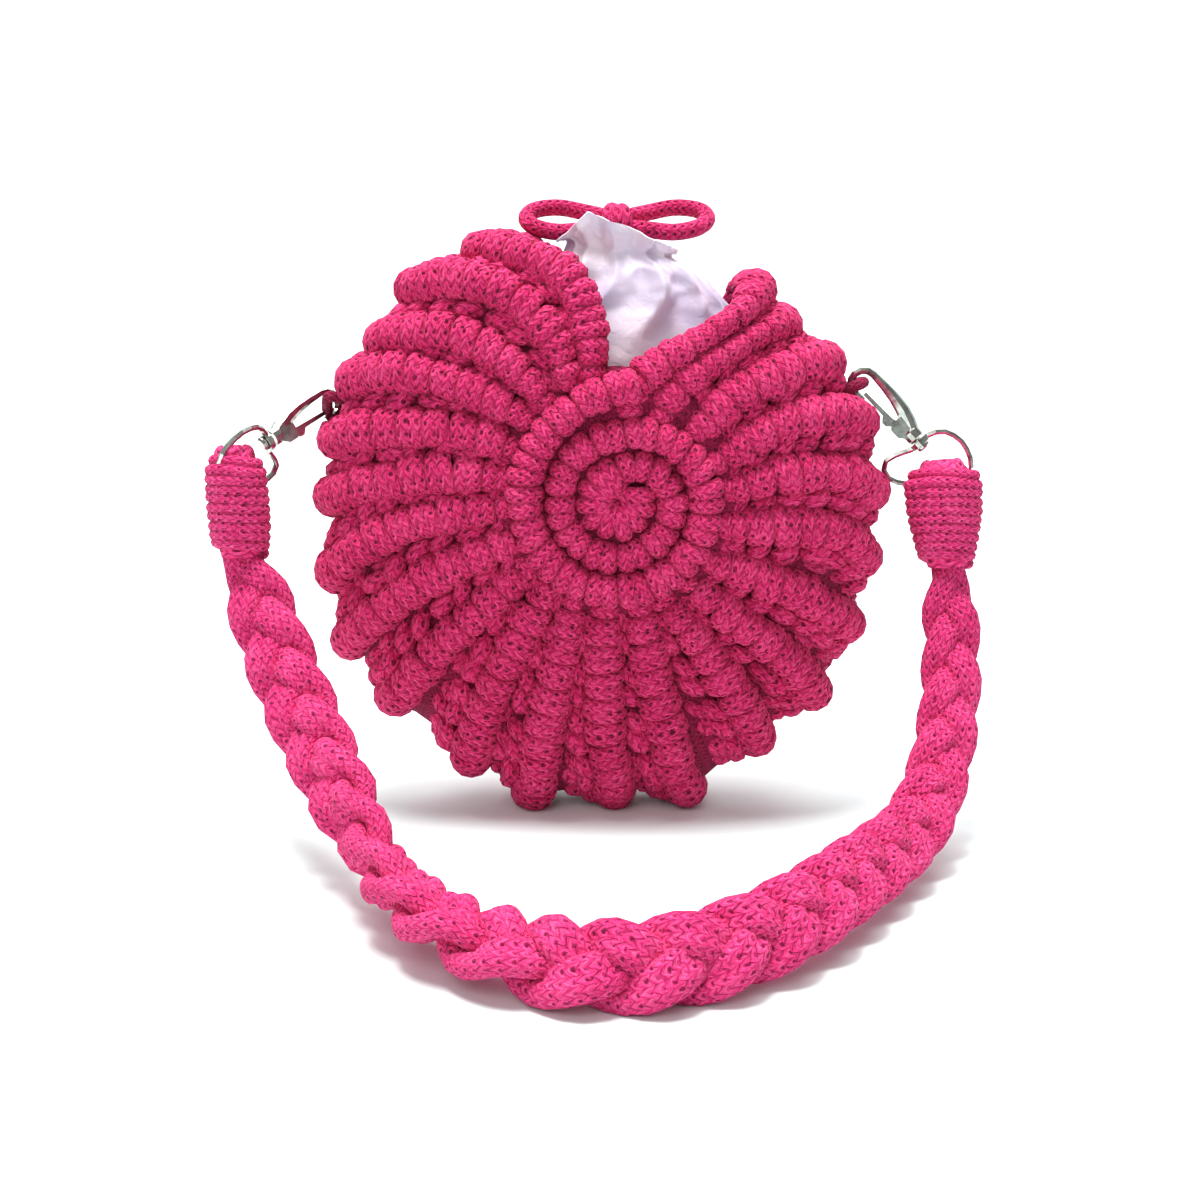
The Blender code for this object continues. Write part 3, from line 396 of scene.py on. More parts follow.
# the shell of ribs, with the same sizes as the solids
shell = {
    "radius": 0.096, "halfDepth": 0.034, "squareness": 2.6, "ribWidth": 0.0112,
    "coilFace": 0.0355, "coilHeight": 0.10546, "bendFrom": 0.0351, "coilGap": 0.0018, "leastEdge": 0.0285,
    # start, middle and tip in degrees clockwise from up, reach as a share of the radius
    "ribs": (
        (8, 29, 35, 0.85), (28, 37, 45.5, 0.82), (50, 51, 59, 0.86), (69, 66, 75, 0.89),
        (85, 82.5, 91, 0.905), (105, 99, 106, 0.92), (124, 118, 121, 0.965), (139, 134.5, 136, 1.025),
        (153, 149, 151, 1.045), (169, 168, 167, 1.13), (186, 182.5, 180, 1.11), (203, 197, 195, 1.15),
        (217, 212.5, 208, 1.115), (233, 230, 226, 1.10), (249, 246, 240, 1.095), (266, 262, 253, 1.045),
        (282, 275.5, 268, 1.00), (297, 289, 280, 0.995), (311, 305, 292, 0.99), (324, 318, 302, 0.965),
        (337, 335, 315, 0.985), (349, 349, 330, 0.945),
    ),
    # the coil: turns clockwise from up, then the middle radius of its ridge and half its width
    "coil": (
        (0.20, 0.0063, 0.0060), (0.96, 0.0066, 0.0064), (1.03, 0.0098, 0.0052), (1.12, 0.0136, 0.0050),
        (1.24, 0.0172, 0.0049), (1.50, 0.0181, 0.0048), (1.75, 0.0172, 0.0048), (2.00, 0.0196, 0.0048),
        (2.10, 0.0236, 0.0049), (2.22, 0.0272, 0.0052), (2.50, 0.0282, 0.0053), (2.75, 0.0280, 0.0054),
        (2.90, 0.0298, 0.0054), (2.98, 0.0330, 0.0053), (3.03, 0.0352, 0.0050),
    ),
    "hookRibs": (2, 17),
}


def shellPlace(angle, radius, y):
    turn = math.radians(angle)
    return Vector((radius * math.sin(turn), y, shell["coilHeight"] + radius * math.cos(turn)))


def coilEdge(angle):
    turn = 2.0 + angle / 360.0
    ridge = tableValue(shell["coil"], 1, turn) + tableValue(shell["coil"], 2, turn)
    return max(ridge + shell["coilGap"], shell["leastEdge"])


def ribAngle(index, share):
    start, middle, tip, reach = shell["ribs"][index]
    middleWeight = 4 * share * (1 - share)
    tipWeight = share * (2 * share - 1)
    return start * (1 - middleWeight - tipWeight) + middle * middleWeight + tip * tipWeight


def profileRadius(share):
    power = shell["squareness"]
    return max(1 - abs(share) ** power, 0.0) ** (1 / power)


def profileNormal(angle, radiusShare, yShare, reach):
    power = shell["squareness"] - 1
    radial = radiusShare ** power / reach
    deep = math.copysign(abs(yShare) ** power, yShare) / shell["halfDepth"]
    turn = math.radians(angle)
    return Vector((radial * math.sin(turn), deep, radial * math.cos(turn))).normalized()


def ribPitches(index, share, radius):
    here = ribAngle(index, share)
    before = ribAngle(index - 1, share) if index > 0 else here - 360.0
    after = ribAngle(index + 1, share) if index < len(shell["ribs"]) - 1 else here + 360.0
    return math.radians(here - before) * radius, math.radians(after - here) * radius


# how each line runs: sway and dip of the ribs, and the links' places and widths beside them
lineForm = {
    "sway": 0.0014, "swayStep": 0.16, "swell": 60.0, "crowding": 0.44, "dip": 0.0016, "dipLength": 0.007,
    # the farthest place and the share of the pitch to the next rib
    "link": (0.0088, 0.5), "outer": (0.0142, 0.62),
    "linkWidth": (0.35, 0.032), "outerWidth": (0.2, 0.0185, 0.006), "outerPitch": 0.0195,
}


def ribLine(index, kind, depth, count=64, startIn=0.0):
    # points, outward directions and width shares of one line along a rib, from front coil to back coil
    ribs = shell["ribs"]
    start = coilEdge(ribs[index][0]) - startIn
    reach = ribs[index][3] * shell["radius"]
    bendFrom = max(start, shell["bendFrom"])
    turnAtStart = math.acos(min((start / reach) ** (shell["squareness"] / 2), 1.0))
    line = []
    for i in range(count):
        turn = mix(-turnAtStart, turnAtStart, i / (count - 1))
        radiusShare = math.cos(turn) ** (2 / shell["squareness"])
        yShare = math.copysign(profileRadius(radiusShare), turn)
        radius = reach * radiusShare
        along = clamp((radius - bendFrom) / (reach - bendFrom))
        before, after = ribPitches(index, along, radius)
        half = min(shell["ribWidth"] / 2, lineForm["crowding"] * before, lineForm["crowding"] * after)
        sway = noise.noise(Vector((index * 3.7, i * lineForm["swayStep"], 0.5))) * lineForm["sway"]
        if kind == "rib":
            offset, width = sway, half / (shell["ribWidth"] / 2) * (1.0 + sway * lineForm["swell"])
        else:
            farthest, share = lineForm[kind]
            offset = min(farthest, share * after) + sway
            if kind == "link":
                least, pitch = lineForm["linkWidth"]
                width = min(1.0, least + after / pitch)
            else:
                least, narrowest, pitch = lineForm["outerWidth"]
                width = min(1.0, max(least, (after - narrowest) / pitch))
        here = ribAngle(index, along)
        if kind != "rib" and index < len(ribs) - 1:
            share = min(offset / after, 1.0)
            tall = mix(reach, ribs[index + 1][3] * shell["radius"], share)
            radius *= tall / reach
        angle = here + math.degrees(offset / radius)
        away = profileNormal(angle, radiusShare, yShare, reach)
        # the ribs dip beside the coil
        dip = lineForm["dip"] * math.exp(-max(radius - start, 0.0) / lineForm["dipLength"])
        if kind != "rib":
            dip = 0.0
        point = shellPlace(angle, radius, yShare * shell["halfDepth"]) - away * (depth + dip)
        if kind != "outer" or after > lineForm["outerPitch"]:
            line.append((point, away, width))
    return line


def guideObject(name, lines):
    # edges that Geometry Nodes turn into curves, with the outward direction and the width at each point
    mesh = bpy.data.meshes.new(name)
    points, edges = [], []
    for line in lines:
        edges += [(len(points) + i, len(points) + i + 1) for i in range(len(line) - 1)]
        points += [row[0] for row in line]
    mesh.from_pydata(points, edges, [])
    mesh.attributes.new("away", "FLOAT_VECTOR", "POINT")
    mesh.attributes.new("width", "FLOAT", "POINT")
    rows = [row for line in lines for row in line]
    for i, row in enumerate(rows):
        mesh.attributes["away"].data[i].vector = row[1]
        mesh.attributes["width"].data[i].value = row[2]
    guide = bpy.data.objects.new(name, mesh)
    bpy.context.scene.collection.objects.link(guide)
    return guide


# one wrap of cord over a rib: an arch across it whose legs end inside the rib
wrapForm = {"way": (0.0, 1.0, 0.0), "across": (1.0, 0.0, 0.0), "halfSpan": 0.0047, "rise": 0.0050,
            "top": -0.0011, "sweep": 114.0, "broad": 0.0030, "high": 0.0022, "rings": 9, "sides": 7}
# one knuckle: a short arch of cord lying along the valley
knuckleForm = {"way": (1.0, 0.0, 0.0), "across": (0.0, -1.0, 0.0), "halfSpan": 0.0036, "rise": 0.0040,
               "top": -0.0020, "sweep": 106.0, "broad": 0.0034, "high": 0.0026, "rings": 8, "sides": 7}


def archTemplate(name, form):
    shape = newShape()
    way, across, up = Vector(form["way"]), Vector(form["across"]), Vector((0.0, 0.0, 1.0))
    rings, travelled, last = [], 0.0, None
    for i in range(form["rings"]):
        turn = math.radians(mix(-form["sweep"], form["sweep"], i / (form["rings"] - 1)))
        height = form["top"] - form["rise"] + form["rise"] * math.cos(turn)
        centre = way * (form["halfSpan"] * math.sin(turn)) + up * height
        outward = way * (math.sin(turn) / form["halfSpan"]) + up * (math.cos(turn) / form["rise"])
        if last is not None:
            travelled += (centre - last).length
        last = centre
        # the seam lies on the inner side
        rings.append((addRing(shape, centre, -outward.normalized(), across, form["high"], form["broad"],
                              form["sides"]), travelled))
    skinRings(shape, rings, form["sides"])
    return makePiece(name, shape, cordPink)


def wrapTree(name):
    # curves from the guide, one template on each even step, turned to the surface, with a little disorder
    tree = bpy.data.node_groups.new(name, "GeometryNodeTree")
    sockets = (
        ("Guide", "NodeSocketGeometry", None), ("Template", "NodeSocketObject", None),
        ("Pitch", "NodeSocketFloat", 0.0049), ("Slant", "NodeSocketFloat", 0.1),
        ("Slant Spread", "NodeSocketFloat", 0.1), ("Size Spread", "NodeSocketFloat", 0.06),
        ("Pair Shift", "NodeSocketFloat", 0.0003), ("Seed", "NodeSocketInt", 7),
        ("Length", "NodeSocketFloat", 1.0), ("Material", "NodeSocketMaterial", None),
    )
    for label, kind, value in sockets:
        socket = tree.interface.new_socket(label, in_out="INPUT", socket_type=kind)
        if value is not None:
            socket.default_value = value
    tree.interface.new_socket("Wraps", in_out="OUTPUT", socket_type="NodeSocketGeometry")
    given = tree.nodes.new("NodeGroupInput").outputs
    curves = addNode(tree, "GeometryNodeMeshToCurve", {0: given["Guide"]}).outputs[0]
    even = addNode(tree, "GeometryNodeResampleCurve", {"Curve": curves, "Length": given["Pitch"]},
                   mode="LENGTH")
    tangent = addNode(tree, "GeometryNodeInputTangent").outputs[0]
    away = addNode(tree, "GeometryNodeInputNamedAttribute", {"Name": "away"},
                   data_type="FLOAT_VECTOR").outputs[0]
    width = addNode(tree, "GeometryNodeInputNamedAttribute", {"Name": "width"}, data_type="FLOAT").outputs[0]
    facing = addNode(tree, "FunctionNodeAxesToRotation", {0: away, 1: tangent},
                     primary_axis="Z", secondary_axis="X").outputs[0]
    index = addNode(tree, "GeometryNodeInputIndex").outputs[0]
    # back and forth for every other wrap
    swing = calc(tree, "MULTIPLY_ADD", calc(tree, "MODULO", index, 2.0), 2.0, -1.0)

    def chance(low, high, shift):
        seed = calc(tree, "ADD", given["Seed"], shift)
        node = addNode(tree, "FunctionNodeRandomValue", {"Seed": seed}, data_type="FLOAT")
        node.inputs[2].default_value = low
        node.inputs[3].default_value = high
        return node.outputs[1]

    lean = calc(tree, "MULTIPLY", chance(-1.0, 1.0, 1.0), given["Slant Spread"])
    slant = calc(tree, "MULTIPLY", given["Slant"], calc(tree, "MULTIPLY_ADD", swing, 0.35, 1.0))
    lean = calc(tree, "ADD", lean, slant)
    tip = calc(tree, "MULTIPLY", chance(-1.0, 1.0, 2.0), calc(tree, "MULTIPLY", given["Slant Spread"], 0.5))
    lean = addNode(tree, "FunctionNodeEulerToRotation", {0: joined(tree, 0.0, tip, lean)}).outputs[0]
    turned = addNode(tree, "FunctionNodeRotateRotation", {0: facing, 1: lean}, rotation_space="LOCAL")
    bigger = calc(tree, "MULTIPLY_ADD", chance(-1.0, 1.0, 3.0), given["Size Spread"], 1.0)
    taller = calc(tree, "MULTIPLY_ADD", chance(-1.0, 1.0, 4.0), given["Size Spread"], 1.0)
    size = joined(tree, given["Length"], calc(tree, "MULTIPLY", bigger, width), taller)
    template = addNode(tree, "GeometryNodeObjectInfo", {0: given["Template"]}, transform_space="ORIGINAL")
    placed = addNode(tree, "GeometryNodeInstanceOnPoints",
                     {"Points": even.outputs[0], "Instance": template.outputs["Geometry"],
                      "Rotation": turned.outputs[0], "Scale": size}).outputs[0]
    shift = calc(tree, "MULTIPLY", swing, given["Pair Shift"])
    rise = calc(tree, "MULTIPLY", chance(-1.0, 1.0, 5.0), 0.00035)
    placed = addNode(tree, "GeometryNodeTranslateInstances",
                     {"Instances": placed, "Translation": joined(tree, shift, 0.0, rise)}).outputs[0]
    real = addNode(tree, "GeometryNodeRealizeInstances", {0: placed}).outputs[0]
    # nothing goes through the floor that the lowest ribs rest on
    spot = addNode(tree, "GeometryNodeInputPosition").outputs[0]
    spot = addNode(tree, "ShaderNodeSeparateXYZ", {0: spot}).outputs
    spot = joined(tree, spot[0], spot[1], calc(tree, "MAXIMUM", spot[2], 0.0))
    rested = addNode(tree, "GeometryNodeSetPosition", {"Geometry": real, "Position": spot}).outputs[0]
    painted = addNode(tree, "GeometryNodeSetMaterial", {"Geometry": rested, "Material": given["Material"]})
    out = tree.nodes.new("NodeGroupOutput")
    tree.links.new(painted.outputs[0], out.inputs[0])
    return tree


cordWraps = wrapTree("cordWraps")


def bakeWraps(name, lines, settings):
    guide = guideObject(name + "Guide", lines)
    wraps = guide.modifiers.new("wraps", "NODES")
    wraps.node_group = cordWraps
    for item in cordWraps.interface.items_tree:
        if item.in_out == "INPUT" and item.name in settings:
            wraps[item.identifier] = settings[item.name]
    view = bpy.context.evaluated_depsgraph_get()
    mesh = bpy.data.meshes.new_from_object(guide.evaluated_get(view))
    mesh.name = name
    mesh.shade_smooth()
    guide.modifiers.remove(wraps)
    bpy.data.objects.remove(guide)
    piece = bpy.data.objects.new(name, mesh)
    bpy.context.scene.collection.objects.link(piece)
    return piece


wrap = archTemplate("wrapTemplate", wrapForm)
knuckle = archTemplate("knuckleTemplate", knuckleForm)
ribSettings = {"Template": wrap, "Pitch": 0.0043, "Slant": 0.14, "Slant Spread": 0.16, "Size Spread": 0.10,
               "Pair Shift": 0.0004, "Material": cordPink}
linkSettings = {"Template": knuckle, "Pitch": 0.0088, "Slant": 0.45, "Slant Spread": 0.40,
                "Size Spread": 0.16, "Pair Shift": 0.0010, "Material": cordPink}
linkPlaces = {"near": 0.0033, "nearStart": 0.003, "far": 0.0056, "hookFrom": 2, "hookTo": 24}
halves = (("right_ribs", range(0, 11)), ("left_ribs", range(11, 22)))


def makeRibs():
    made = []
    for i, (name, indices) in enumerate(halves):
        lines = [ribLine(index, "rib", 0.0) for index in indices]
        made.append(bakeWraps(name, lines, dict(ribSettings, Seed=11 + i)))
        links = []
        for index in indices:
            if index == len(shell["ribs"]) - 1:
                continue
            near = ribLine(index, "link", linkPlaces["near"], startIn=-linkPlaces["nearStart"])
            far = ribLine(index, "outer", linkPlaces["far"])
            if index in shell["hookRibs"]:
                # room for the hook's loop on the rim
                first, last = linkPlaces["hookFrom"], linkPlaces["hookTo"]
                links += [near[first:last], near[-last:-first]]
            else:
                links.append(near)
                if len(far) > 3:
                    links.append(far)
        made.append(bakeWraps(name.replace("ribs", "links"), links, dict(linkSettings, Seed=31 + i)))
    return made


ribPieces = makeRibs()
print("ribs wrapped")


# coil rings: wraps over a spiral ridge
coilSettings = {
    "rosette": {"turns": (0.20, 0.98), "steps": 60, "Pitch": 0.0034, "Slant": 0.0, "Slant Spread": 0.05,
                "Size Spread": 0.05, "Pair Shift": 0.0, "Length": 0.95},
    "rings": {"turns": (0.98, 3.02), "steps": 220, "Pitch": 0.0049, "Slant": 0.12, "Slant Spread": 0.12,
              "Size Spread": 0.07, "Pair Shift": 0.0003, "Length": 1.0},
}
coilForm = {"halfWidth": 0.0061, "sunk": 0.0001, "proud": 0.0008, "proudFrom": 1.95, "proudOver": 0.2}


def coilLine(settings, side):
    line = []
    first, last = settings["turns"]
    for i in range(settings["steps"]):
        turn = mix(first, last, i / (settings["steps"] - 1))
        middle, half = tableValue(shell["coil"], 1, turn), tableValue(shell["coil"], 2, turn)
        # the outermost turn stands a little prouder
        proud = coilForm["proud"] * clamp((turn - coilForm["proudFrom"]) / coilForm["proudOver"])
        face = shell["coilFace"] + (proud - coilForm["sunk"])
        point = shellPlace(turn * 360.0, middle, side * face)
        line.append((point, Vector((0.0, side, 0.0)), half / coilForm["halfWidth"]))
    return line


def makeCoils():
    made = []
    for name, side in (("front", -1.0), ("back", 1.0)):
        for part, settings in coilSettings.items():
            inputs = dict(settings, Template=wrap, Material=cordPink, Seed=51)
            made.append(bakeWraps(name + "_" + part, [coilLine(settings, side)], inputs))
    return made


coilPieces = makeCoils()
print("coils wound")


# the knotted ground that shows between the ribs, and under the coils, in the darker copy of the cord colours
# that paints the shade there
groundForm = {
    # the line each strip follows, its depth and the side of the rib it lies on
    "lines": (("rib", 0.0092, -1.0), ("rib", 0.0040, 0.0), ("rib", 0.0092, 1.0), ("link", 0.0084, 0.0)),
    "rows": 40, "wall": 0.0015, "startIn": 0.004, "foot": 0.46, "stitch": (0.0045, 0.6),
    # radius and depth of the discs under the coils
    "disc": ((0.0003, 0.0042), (0.012, 0.0044), (0.024, 0.0050), (0.035, 0.0058), (0.0405, 0.0095)),
    "discSides": 48, "discStitch": (0.01, 0.3),
}


def makeGround(form):
    shape = newShape()
    strips = []
    for index in range(len(shell["ribs"])):
        for kind, depth, side in form["lines"]:
            if kind == "link" and index == len(shell["ribs"]) - 1:
                continue
            strip = []
            for point, away, width in ribLine(index, kind, depth, form["rows"], startIn=form["startIn"]):
                radius = Vector((point.x, 0.0, point.z - shell["coilHeight"]))
                across = Vector((radius.z, 0.0, -radius.x)).normalized()
                place = point + across * (side * width * shell["ribWidth"] * form["foot"])
                place.z = max(place.z, form["wall"])
                strip.append(place)
            strips.append(strip)
    shape["points"] = [place for strip in strips for place in strip]
    long, wide = form["stitch"]
    for i in range(len(strips) - 1):
        for j in range(form["rows"] - 1):
            a, b = i * form["rows"] + j, (i + 1) * form["rows"] + j
            shape["faces"].append((a, a + 1, b + 1, b))
            u, v = j * long, i * wide
            shape["uvs"] += [(u, v), (u + long, v), (u + long, v + wide), (u, v + wide)]
    ground = makePiece("knotted_ground", shape, shadedCordPink)
    addWall(ground, form["wall"])
    soft = ground.modifiers.new("soft", "SUBSURF")
    soft.levels = soft.render_levels = 1
    return ground


def makeCoilGround(name, side, form):
    shape = newShape()
    sides = form["discSides"]
    for radius, depth in form["disc"]:
        for i in range(sides):
            shape["points"].append(shellPlace(360.0 * i / sides, radius, side * (shell["coilFace"] - depth)))
    long, wide = form["discStitch"]
    for k in range(len(form["disc"]) - 1):
        for i in range(sides):
            first, second, j = k * sides, (k + 1) * sides, (i + 1) % sides
            face = (first + i, second + i, second + j, first + j)
            shape["faces"].append(face if side > 0 else face[::-1])
            u, v = k * long, i * wide
            shape["uvs"] += [(u, v), (u + long, v), (u + long, v + wide), (u, v + wide)]
    disc = makePiece(name, shape, shadedCordPink)
    addWall(disc, form["wall"])
    return disc


ground = makeGround(groundForm)
frontDisc = makeCoilGround("front_coil_ground", -1.0, groundForm)
backDisc = makeCoilGround("back_coil_ground", 1.0, groundForm)
for template in (wrap, knuckle):
    bpy.data.objects.remove(template)


# the braided strap: three strands, each a fat flat cord
strapForm = {
    "reach": 0.163, "floorHeight": 0.0102, "swing": 0.0064, "lift": 0.0039, "periods": 8, "steps": 16,
    "endSize": 0.42, "gather": 0.30, "tuck": 0.005, "halfWide": 0.0060, "halfThick": 0.0040, "endWidth": 0.80,
    "sides": 24, "groove": 0.30, "lump": 0.07, "lumpStep": 0.21, "floorGap": 0.0002,
    # how stout the braid is, from its right end to its left end
    "girth": ((0.0, 0.72), (0.08, 0.78), (0.22, 0.84), (0.36, 0.93), (0.5, 1.0), (0.75, 0.98), (0.92, 0.92),
              (1.0, 0.84)),
    # side, forward and rise as shares, and the broad face's tilt in degrees
    "rows": (
        (1.000, 0.000, 1.000, 0), (1.002, 0.052, 0.752, 2), (0.981, 0.151, 0.445, 6),
        (0.921, 0.273, 0.201, 12), (0.832, 0.409, 0.080, 17), (0.719, 0.550, 0.061, 21),
        (0.601, 0.687, 0.066, 24), (0.482, 0.810, 0.056, 27), (0.343, 0.911, 0.034, 29),
        (0.165, 0.980, 0.009, 32), (0.002, 0.992, 0.000, 38), (-0.157, 0.951, 0.004, 60),
        (-0.322, 0.863, 0.026, 100), (-0.444, 0.746, 0.047, 136), (-0.537, 0.608, 0.087, 154),
        (-0.638, 0.459, 0.190, 164), (-0.742, 0.309, 0.343, 171), (-0.841, 0.172, 0.536, 176),
        (-0.936, 0.060, 0.789, 180), (-1.000, 0.000, 1.000, 180),
    ),
}

# where each whipped end starts and ends, its half width and half depth
strapEnds = {
    "left": {"top": (-0.11708, -0.02545, 0.12168), "bottom": (-0.11558, -0.02645, 0.08773), "width": 0.78,
             "rows": ((0.0, 0.42, 0.45), (0.07, 0.72, 0.75), (0.22, 0.98, 1.0), (0.5, 1.02, 1.0),
                      (0.78, 1.0, 0.96), (1.0, 0.86, 0.84))},
    "right": {"top": (0.10318, -0.00516, 0.11462), "bottom": (0.10577, -0.00828, 0.08086), "width": 0.98,
              "rows": ((0.0, 0.42, 0.45), (0.07, 0.78, 0.75), (0.20, 1.06, 1.0), (0.5, 1.02, 1.0),
                       (0.78, 0.86, 0.92), (1.0, 0.68, 0.80))},
}
endForm = {
    "halfWidth": 0.0118, "halfDepth": 0.0088, "length": 0.034, "turns": 10, "cordRadius": 0.0019,
    "sides": 28, "coreRows": 14, "coreInset": 0.0016, "cordInset": 0.75, "from": 0.13, "to": 0.955,
    # how much each turn leans and how unevenly, as shares of the length
    "lean": 0.05, "leanSpread": 0.03, "waver": 0.016,
    "foldPlace": 0.405, "foldTop": 0.0075, "foldRise": 0.0058, "foldHalf": 0.0050, "foldMiddle": 0.008,
    "foldCord": 1.05, "cordSides": 10,
}


def endFrame(end):
    top, bottom = Vector(end["top"]), Vector(end["bottom"])
    down = (bottom - top).normalized()
    wide = (Vector((1.0, 0.0, 0.0)) - down * down.x).normalized()
    return top, bottom, down, wide, down.cross(wide)


def strapLine(form, count):
    # middle line, direction and broad-face direction of the strap at even steps
    rightBottom, rightDown = Vector(strapEnds["right"]["bottom"]), endFrame(strapEnds["right"])[2]
    leftBottom, leftDown = Vector(strapEnds["left"]["bottom"]), endFrame(strapEnds["left"])[2]
    halfSpan, middle = (rightBottom.x - leftBottom.x) / 2, (rightBottom.x + leftBottom.x) / 2
    control = []
    for side, forward, rise, face in form["rows"]:
        share = (side + 1) / 2
        back = mix(leftBottom.y, rightBottom.y, clamp(share))
        control.append(Vector((middle + side * halfSpan, mix(back, -form["reach"], forward),
                               mix(form["floorHeight"], mix(leftBottom.z, rightBottom.z, share), rise))))
    control[0], control[-1] = rightBottom, leftBottom
    path = smoothPath(control, count)
    line = []
    for i, point in enumerate(path):
        along = (path[min(i + 1, count - 1)] - path[max(i - 1, 0)]).normalized()
        if i == 0:
            along = rightDown
        if i == count - 1:
            along = -leftDown
        at = i / (count - 1) * (len(form["rows"]) - 1)
        low = min(int(at), len(form["rows"]) - 2)
        face = math.radians(mix(form["rows"][low][3], form["rows"][low + 1][3], at - low))
        normal = Vector((0.0, -math.cos(face), math.sin(face)))
        line.append((point, along, (normal - along * normal.dot(along)).normalized()))
    return line


def makeStrap(form):
    count = form["periods"] * form["steps"] + 1
    line = strapLine(form, count)
    strands = []
    for strand in range(3):
        centres, sizes = [], []
        for i, (point, along, normal) in enumerate(line):
            phase = 2 * math.pi * (i / form["steps"] + strand / 3)
            # the strands draw together where they go into the whipping
            fromEnd = min(min(i, count - 1 - i) / form["steps"] / form["gather"], 1.0)
            girth = tableValue(form["girth"], 1, i / (count - 1))
            size = mix(form["endSize"], 1.0, fromEnd * fromEnd * (3 - 2 * fromEnd)) * girth
            sizes.append(size)
            centres.append(point + along.cross(normal) * (form["swing"] * size * math.sin(phase))
                           + normal * (form["lift"] * size * math.sin(2 * phase)))
        shape = newShape()
        path, ups, radii = [], [], []
        for i, centre in enumerate(centres):
            ahead = (centres[min(i + 1, count - 1)] - centres[max(i - 1, 0)]).normalized()
            wide = ahead.cross(line[i][2]).normalized()
            lump = 1 + form["lump"] * noise.noise(Vector((i * form["lumpStep"], strand * 9.0, 0.0)))
            place = centre.copy()
            place.z = max(place.z, form["halfThick"])
            path.append(place)
            ups.append(wide.cross(ahead))
            girth = tableValue(form["girth"], 1, i / (count - 1))
            opened = (sizes[i] / girth - form["endSize"]) / (1 - form["endSize"])
            radii.append(form["halfWide"] * lump * girth * mix(form["endWidth"], 1.0, opened))
        path = [path[0] - line[0][1] * form["tuck"], *path, path[-1] + line[-1][1] * form["tuck"]]
        ups = [ups[0], *ups, ups[-1]]
        radii = [radii[0], *radii, radii[-1]]
        addTube(shape, path, radii, form["sides"], ups=ups, flat=form["halfThick"] / form["halfWide"],
                seamTurn=0.0, domes=False, uvStart=strand * 0.001, groove=form["groove"])
        # the strap lies on the floor, not in it
        for point in shape["points"]:
            point.z = max(point.z, form["floorGap"])
        # twice as many columns of stitches round the fat cord
        shape["uvs"] = [(u, v * 2.0) for u, v in shape["uvs"]]
        strands.append(makePiece("strap_cords_" + "abc"[strand], shape, litStrapPink))
    return strands


strapPieces = makeStrap(strapForm)


def makeStrapEnd(name, end, form):
    # a core with a helix of cord whipped round it, and the fold over the ring at its top
    top, bottom, down, wide, deep = endFrame(end)
    halfWidth = form["halfWidth"] * end["width"]
    shape = newShape()
    rings = []
    for i in range(form["coreRows"] + 1):
        along = i / form["coreRows"]
        width = tableValue(end["rows"], 1, along) * halfWidth - form["coreInset"]
        depth = tableValue(end["rows"], 2, along) * form["halfDepth"] - form["coreInset"]
        at = along * form["length"]
        rings.append((addRing(shape, top + down * at, wide, deep, width, depth, form["sides"]), at))
    skinRings(shape, rings, form["sides"])
    path, ups = [], []
    steps = form["turns"] * form["sides"]
    for i in range(steps + 1):
        turn = 2 * math.pi * i / form["sides"]
        along = mix(form["from"], form["to"], i / steps)
        # each turn leans a little, and no two by the same amount
        lean = form["lean"] + form["leanSpread"] * noise.noise(Vector((turn * 0.25, 2.0, 0.0)))
        waver = form["waver"] * noise.noise(Vector((turn * 0.8, 7.0, end["width"])))
        at = clamp(along + lean * math.cos(turn + 0.6) + waver)
        inset = form["cordRadius"] * form["cordInset"]
        width = tableValue(end["rows"], 1, at) * halfWidth - inset
        depth = tableValue(end["rows"], 2, at) * form["halfDepth"] - inset
        out = wide * (width * math.cos(turn)) + deep * (depth * math.sin(turn))
        path.append(top + down * (form["length"] * at) + out)
        ups.append(out.normalized())
    addTube(shape, path, form["cordRadius"], form["cordSides"], ups=ups)
    for side in (-1.0, 1.0):
        fold, ups = [], []
        for a in range(-80, 81, 20):
            turn = math.radians(a)
            place = top + down * (form["foldTop"] - form["foldRise"] * math.cos(turn))
            place += deep * (form["foldHalf"] * math.sin(turn))
            place += wide * (side * form["foldPlace"] * halfWidth)
            fold.append(place)
            ups.append((place - (top + down * form["foldMiddle"])).normalized())
        addTube(shape, fold, form["cordRadius"] * form["foldCord"], form["cordSides"], ups=ups)
    return makePiece(name + "_whipping", shape, litStrapPink)


endPieces = {name: makeStrapEnd(name, end, endForm) for name, end in strapEnds.items()}
print("strap braided")


